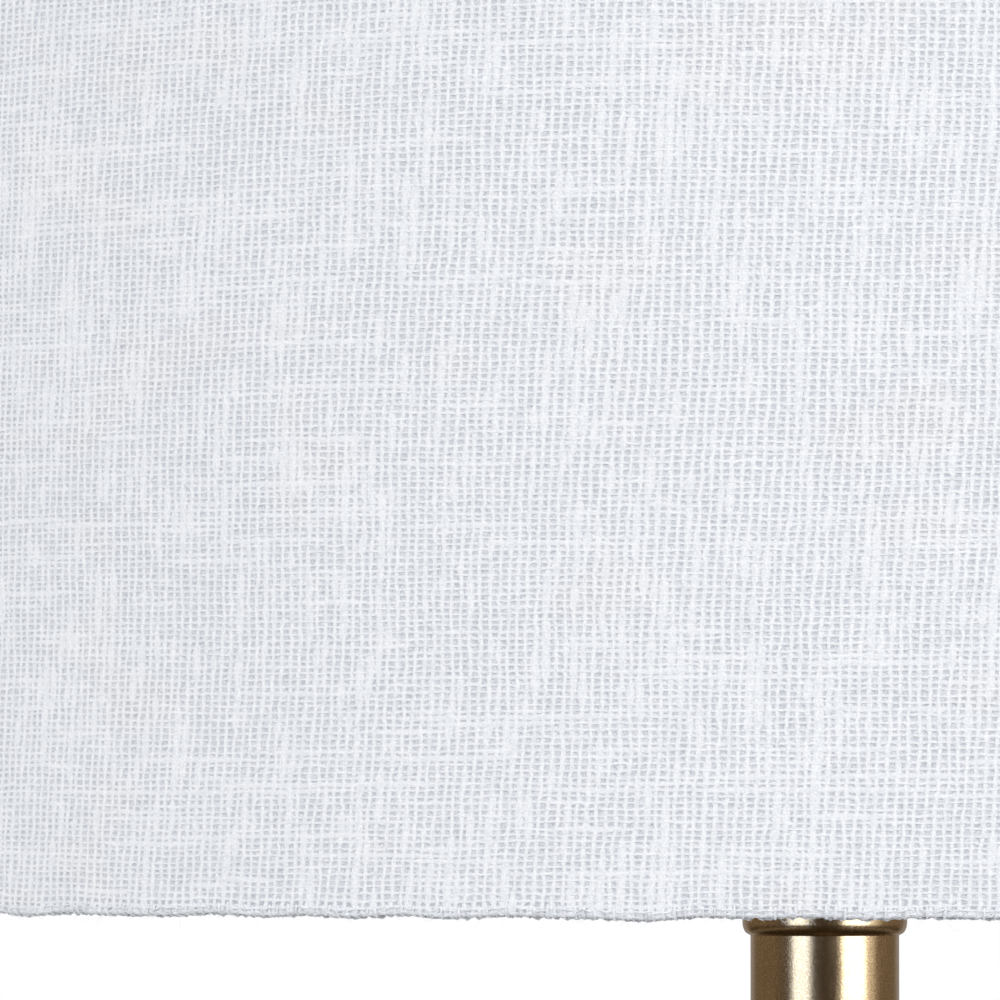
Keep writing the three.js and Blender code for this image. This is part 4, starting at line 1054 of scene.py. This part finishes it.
def bulbCap():
    bottom, top, r = span("bulb_cap")
    taper = 4 * mm
    corners = [(0, bottom), (r, bottom), (r, top - taper), (r - taper, top), (0, top)]

    def thread(a, radius, along):
        outside = (radius > r - 0.05 * mm) & (along > bottom + 2 * mm)
        return np.where(outside, threadDip(a, along, 0.7 * mm, 3.6 * mm), 0)

    return headLathe("bulbCap", densified(corners, 0.5 * mm, loop=False), 96, loop=False, ripple=thread)


knuckle = {
    "eye": 9 * mm, "hole": 3.25 * mm, "taper": 1 * mm, "tongue": 8 * mm, "tongueReach": 23 * mm, "ear": 4 * mm,
    "earMiddle": 7.2 * mm, "earReach": 18 * mm, "boss": 10 * mm, "bossTop": -12 * mm, "bossBottom": -26 * mm,
    "stemHole": 5.25 * mm, "leadHole": 3.4 * mm, "bevel": 0.6 * mm, "rim": 13.3 * mm, "plug": 10.7 * mm,
    "pin": 3 * mm, "pinHead": 6 * mm, "nut": 8.5 * mm, "ferrule": 5 * mm, "plugIn": 14 * mm,
    "leadBore": 3.05 * mm,
}


def tiltKnob():
    low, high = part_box("tilt_knob")
    start, end, r = -high.y, -low.y, (high.x - low.x) / 2
    hole, blind = knuckle["hole"], end - 2 * mm
    corners = [(hole, start), (r - 2.5 * mm, start), (r, start + 2 * mm), (r, end), (r - 3.5 * mm, end),
               (0, end - 0.7 * mm)]
    outline = rounded(corners, np.array([0.1, 0.5, 0.6, 1.1, 0.8, 0]) * mm, 6, loop=False)
    profile = densified(np.vstack([[(0, blind), (hole, blind)], outline]), 0.6 * mm, loop=False)
    ripple = knurled(0.4 * mm, 30, start + 2.4 * mm, end - 1.3 * mm)

    def onRim(a, radius, along):
        return ripple(a, radius, along) * (radius > r - 0.4 * mm)

    axis = straight((pivot[0], 0, pivot[2]), (0, -1, 0), (1, 0, 0))
    return turned("tiltKnob", profile, axis, 180, loop=False, ripple=onRim)


# A plate with an eye: round above its eye, and below it two straight sides that draw in down to a foot. Seen
# from the eye its outline at angle a is the least of eye, eye / (|cos a| + slope |sin a|) and foot / |sin a|.
def eyePlate(name, centre, across, up, middle, thick, foot):
    k = knuckle
    a = np.linspace(0, 2 * pi, 144, endpoint=False)[None, :]
    c, s = np.cos(a), np.sin(a)
    down = np.maximum(-s, 1e-6)
    sides = k["eye"] / (np.abs(c) + down * k["taper"] / foot)
    outline = np.where(s >= 0, k["eye"], np.minimum(sides, foot / down))
    turn = np.linspace(0, pi / 2, 5)[:, None]
    inset = np.vstack([k["bevel"] * (1 - np.sin(turn)), k["bevel"] * (1 - np.sin(turn[::-1]))])
    drop = k["bevel"] * (1 - np.cos(turn))
    depth = np.vstack([-thick / 2 + drop, thick / 2 - drop[::-1]])
    radius = np.vstack([k["hole"] + 0 * a, outline - inset, k["hole"] + 0 * a])[..., None]
    depth = np.vstack([[[-thick / 2]], depth, [[thick / 2]]])[..., None]
    out = c[..., None] * np.asarray(across, float) + s[..., None] * np.asarray(up, float)
    grid = np.asarray(centre) + radius * out + (middle + depth) * np.array([0, 1.0, 0])
    return surface(name, grid, wrapRows=True)


# The arc's cap: a plug in the tube's mouth, a rim round it, and the tongue that holds the tilt pin.
def arcEndCap():
    k, q = knuckle, arc["end"]
    along, across = np.array([sin(q), 0, cos(q)]), np.array([cos(q), 0, -sin(q)])
    tip = np.asarray(pivot) - arc["drop"] * along
    bore, end, face, top = k["leadBore"], -k["plugIn"], 0.3 * mm, k["ferrule"]
    corners = [(0, 3.5 * mm), (bore, 3.5 * mm), (bore, end), (k["plug"], end), (k["plug"], face),
               (k["rim"], face), (k["rim"], top), (0, top)]
    profile = rounded(corners, np.array([0, 0.1, 0.3, 0.5, 0.1, 0.5, 1.6, 0]) * mm, 7, loop=False)
    profile = densified(profile, 4 * mm, loop=False)
    rim = turned("capRim", profile, straight(tip, along, across), 96, loop=False)
    tongue = eyePlate("capTongue", pivot, across, along, 0, k["tongue"], k["tongueReach"])
    return joinedPieces("arcEndCap", rim, tongue)


def headClevis():
    k = knuckle
    hole, lead, outer, low, high = k["stemHole"], k["leadHole"], k["boss"], k["bossBottom"], k["bossTop"]
    corners = [(hole, low), (outer - 3 * mm, low), (outer, low + 4 * mm), (outer, high), (lead, high),
               (lead, high - 3 * mm), (hole, high - 3 * mm)]
    profile = rounded(corners, np.array([0.3, 0.6, 1.5, 0.8, 0.2, 0.1, 0.1]) * mm, 6)
    boss = turned("clevisBoss", densified(profile, 3 * mm), straight(pivot), 96)
    ears = [eyePlate("clevisEar", pivot, (1, 0, 0), (0, 0, 1), side * k["earMiddle"], k["ear"], k["earReach"])
            for side in (1, -1)]
    return joinedPieces("headClevis", boss, *ears)


def tiltPin():
    k = knuckle
    low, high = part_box("tilt_pin")
    a = np.linspace(0, pi / 2, 12)
    pin, head, chamfer, rise, under = k["pin"], k["pinHead"], 0.4 * mm, 2 * mm, high.y - 3.5 * mm
    dome = np.stack([head * np.cos(a), high.y - rise + rise * np.sin(a)], 1)
    shank = [(0, low.y), (pin - chamfer, low.y), (pin, low.y + chamfer), (pin, under), (head - chamfer, under),
             (head, under + chamfer)]
    profile = densified(np.vstack([shank, dome]), 2 * mm, loop=False)
    axis = straight((pivot[0], 0, pivot[2]), (0, 1, 0), (1, 0, 0))
    return turned("tiltPin", profile, axis, 64, loop=False)


# A six-sided nut: its radius is the least of a hexagon's, flat / cos(angle from the nearest flat), and of the
# cones that chamfer its two ends.
def stemNut():
    bottom, top, _ = span("stem_nut")
    hole, corner = knuckle["stemHole"], knuckle["nut"]
    flat = corner * cos(pi / 6)
    profile = densified([(hole, bottom), (corner, bottom), (corner, top), (hole, top)], 0.3 * mm)

    def hexagon(a, radius, along):
        fromFlat = (a + pi / 6) % (pi / 3) - pi / 6
        cone = flat - 0.1 * mm + np.minimum(along - bottom, top - along) * 1.75
        return np.minimum(np.minimum(radius, flat / np.cos(fromFlat)), np.maximum(cone, hole)) - radius

    return turned("stemNut", profile, straight(shadeAxis), 96, ripple=hexagon, sharp=22)


place(arcEndCap(), "arc", "satin_brass", "arc_end_cap")
place(headClevis(), "head", "satin_brass", "head_clevis")
place(tiltPin(), "head", "zinc_steel", "tilt_pin")
place(stemNut(), "head", "satin_brass", "stem_nut")
place(holderCap(), "head", "satin_brass", "holder_cap")
place(holderBody(), "head", "black_plastic", "holder_body")
place(shadeNut(), "head", "black_plastic", "shade_nut")
place(bulbGlass(), "head", "frosted_glass", "bulb_glass")
place(bulbCap(), "head", "zinc_steel", "bulb_cap")
place(tiltKnob(), "tilt_knob", "satin_brass", "tilt_knob")
print("lampholder, bulb and tilt knob made")


# A wide pale floor. To the camera it also glows, more the further it is from the lamp: painted light that fades it
# into the white background, as a studio's floor grows lighter where it meets the wall.
def floorSheet():
    f = Finish("paleFloor", Roughness=0.75, Specular_IOR_Level=0.25, Emission_Strength=1.0)
    at = f.places()
    x, y, _ = f.parts(at)
    # away is painted glow: emission seen by the camera only, growing with distance from the lamp
    away = f.eased((x * x + y * y).root(), 1.6, 8.0) * f.node("LightPath", out="Is Camera Ray")
    broad, fine = f.noise(at, 0.6, 3.0, 0.5), f.noise(at, 60, 3.0, 0.6)
    tone = f.eased(broad * 0.6 + fine * 0.4, 0.3, 0.7)
    finish = f.done(
        Base_Color=f.mixed(tone, colour(0.80, 0.80, 0.80), colour(0.84, 0.84, 0.84)),
        Emission_Color=f.mixed(away, colour(0, 0, 0), colour(0.40, 0.39, 0.375)),
        Normal=f.bump(fine, 0.2 * mm, 0.3))
    line = np.linspace(-40, 40, 9)
    u, v = np.meshgrid(line, line, indexing="ij")
    floor = surface("floorSheet", np.stack([u, v, 0 * u], -1), wrapCols=False)
    if floor.data.polygons[0].normal.z < 0:
        floor.data.flip_normals()
    floor.data.materials.append(finish)
    floor.visible_glossy = False


# One panel of light: it stands at an angle round a target, at a distance and height, and faces the target.
def lightPanel(name, degrees, distance, height, target, size, radiance, tint=(1, 1, 1), seenBy="both"):
    data = bpy.data.lights.new(name, "AREA")
    data.shape, data.size, data.size_y = "RECTANGLE", size[0], size[1]
    data.energy = radiance * pi * size[0] * size[1]
    data.color = tint
    lamp = bpy.data.objects.new(name, data)
    a = radians(degrees)
    lamp.location = (target[0] + distance * cos(a), target[1] + distance * sin(a), height)
    lamp.rotation_euler = (Vector(target) - lamp.location).to_track_quat("-Z", "Y").to_euler()
    lamp.visible_camera = False
    lamp.visible_glossy = seenBy in ("both", "gloss")
    lamp.visible_diffuse = seenBy in ("both", "cloth")
    bpy.context.scene.collection.objects.link(lamp)


studio = {
    "seen": colour(1.0, 1.0, 1.0), "cloth": colour(0.67, 0.68, 0.70), "front": colour(0.034, 0.021, 0.0105),
    "side": colour(0.185, 0.152, 0.118), "under": colour(0.030, 0.020, 0.010),
    "low": colour(0.17, 0.145, 0.115), "over": colour(0.36, 0.34, 0.31), "back": colour(0.33, 0.32, 0.31),
}


# The room is white to the eye and pale grey to cloth. To metal it is dark in front and below, as the space
# between softboxes is, a little lighter low down at both sides, and lightest overhead and behind.
def studioWorld():
    world = bpy.data.worlds.new("studioWorld")
    bpy.context.scene.world = world
    world.use_nodes = True
    tree = world.node_tree
    tree.nodes.clear()
    f, s = Nodes(tree), studio
    x, y, z = f.parts(f.node("TexCoord", out="Generated"))
    behind = f.eased(-x, 0.68, 0.92)
    around = f.mixed(behind, f.mixed(f.eased(x, -0.05, 0.80), s["side"], s["front"]), s["back"])
    lower = f.mixed(f.eased(-z - behind * 0.42, 0.06, 0.40), around, s["under"])
    low = f.eased(z, -0.64, -0.48) * (1.0 - f.eased(z, -0.42, -0.34)) * f.eased(abs(y), 0.28, 0.45)
    metal = f.mixed(f.eased(z, 0.25, 0.85), f.mixed(low, lower, s["low"]), s["over"])
    cloth = f.mixed(f.node("LightPath", out="Is Glossy Ray"), s["cloth"], metal)
    seen = f.mixed(f.node("LightPath", out="Is Camera Ray"), cloth, s["seen"])
    ground = f.node("Background", None, {"Color": seen})
    f.node("OutputWorld", None, {"Surface": ground}, out=None)


polePoint = (0, 0, shade["bottom"] - 0.03)
shadePoint = (shadeAxis.x, 0, shade["bottom"] + 0.06)
floorSheet()
studioWorld()
lightPanel("leftBox", -37, 3.0, 1.56, polePoint, (1.50, 1.68), 3.4, tint=(0.565, 0.705, 1.0), seenBy="gloss")
lightPanel("rightBox", 46.5, 3.0, 1.56, polePoint, (2.15, 1.68), 4.4, tint=(0.8, 0.88, 1.0), seenBy="gloss")
lightPanel("rightWing", 76, 3.0, 1.50, polePoint, (0.75, 1.8), 0.62, seenBy="gloss")
lightPanel("keyPanel", 50, 2.62, 3.2, shadePoint, (1.1, 1.1), 10.9, seenBy="cloth")
lightPanel("fillPanel", -60, 3.0, 2.45, shadePoint, (1.2, 1.2), 5.8, seenBy="cloth")

view = {"stand": 1.002, "rise": 16.7 * mm, "pitch": 2.043, "yaw": 2.317, "lens": 288.6}
camera = bpy.data.cameras.new("camera")
camera.lens, camera.sensor_width = view["lens"], 36
camera.clip_start, camera.clip_end = 0.05, 300
viewer = bpy.data.objects.new("camera", camera)
viewer.location = (shadeAxis.x + shade["radius"] + view["stand"], 0, shade["bottom"] + view["rise"])
viewer.rotation_euler = (radians(90 + view["pitch"]), 0, radians(90 + view["yaw"]))
bpy.context.scene.collection.objects.link(viewer)
bpy.context.scene.camera = viewer
bpy.context.scene.view_settings.view_transform = "Standard"
print("floor, lights and camera made")
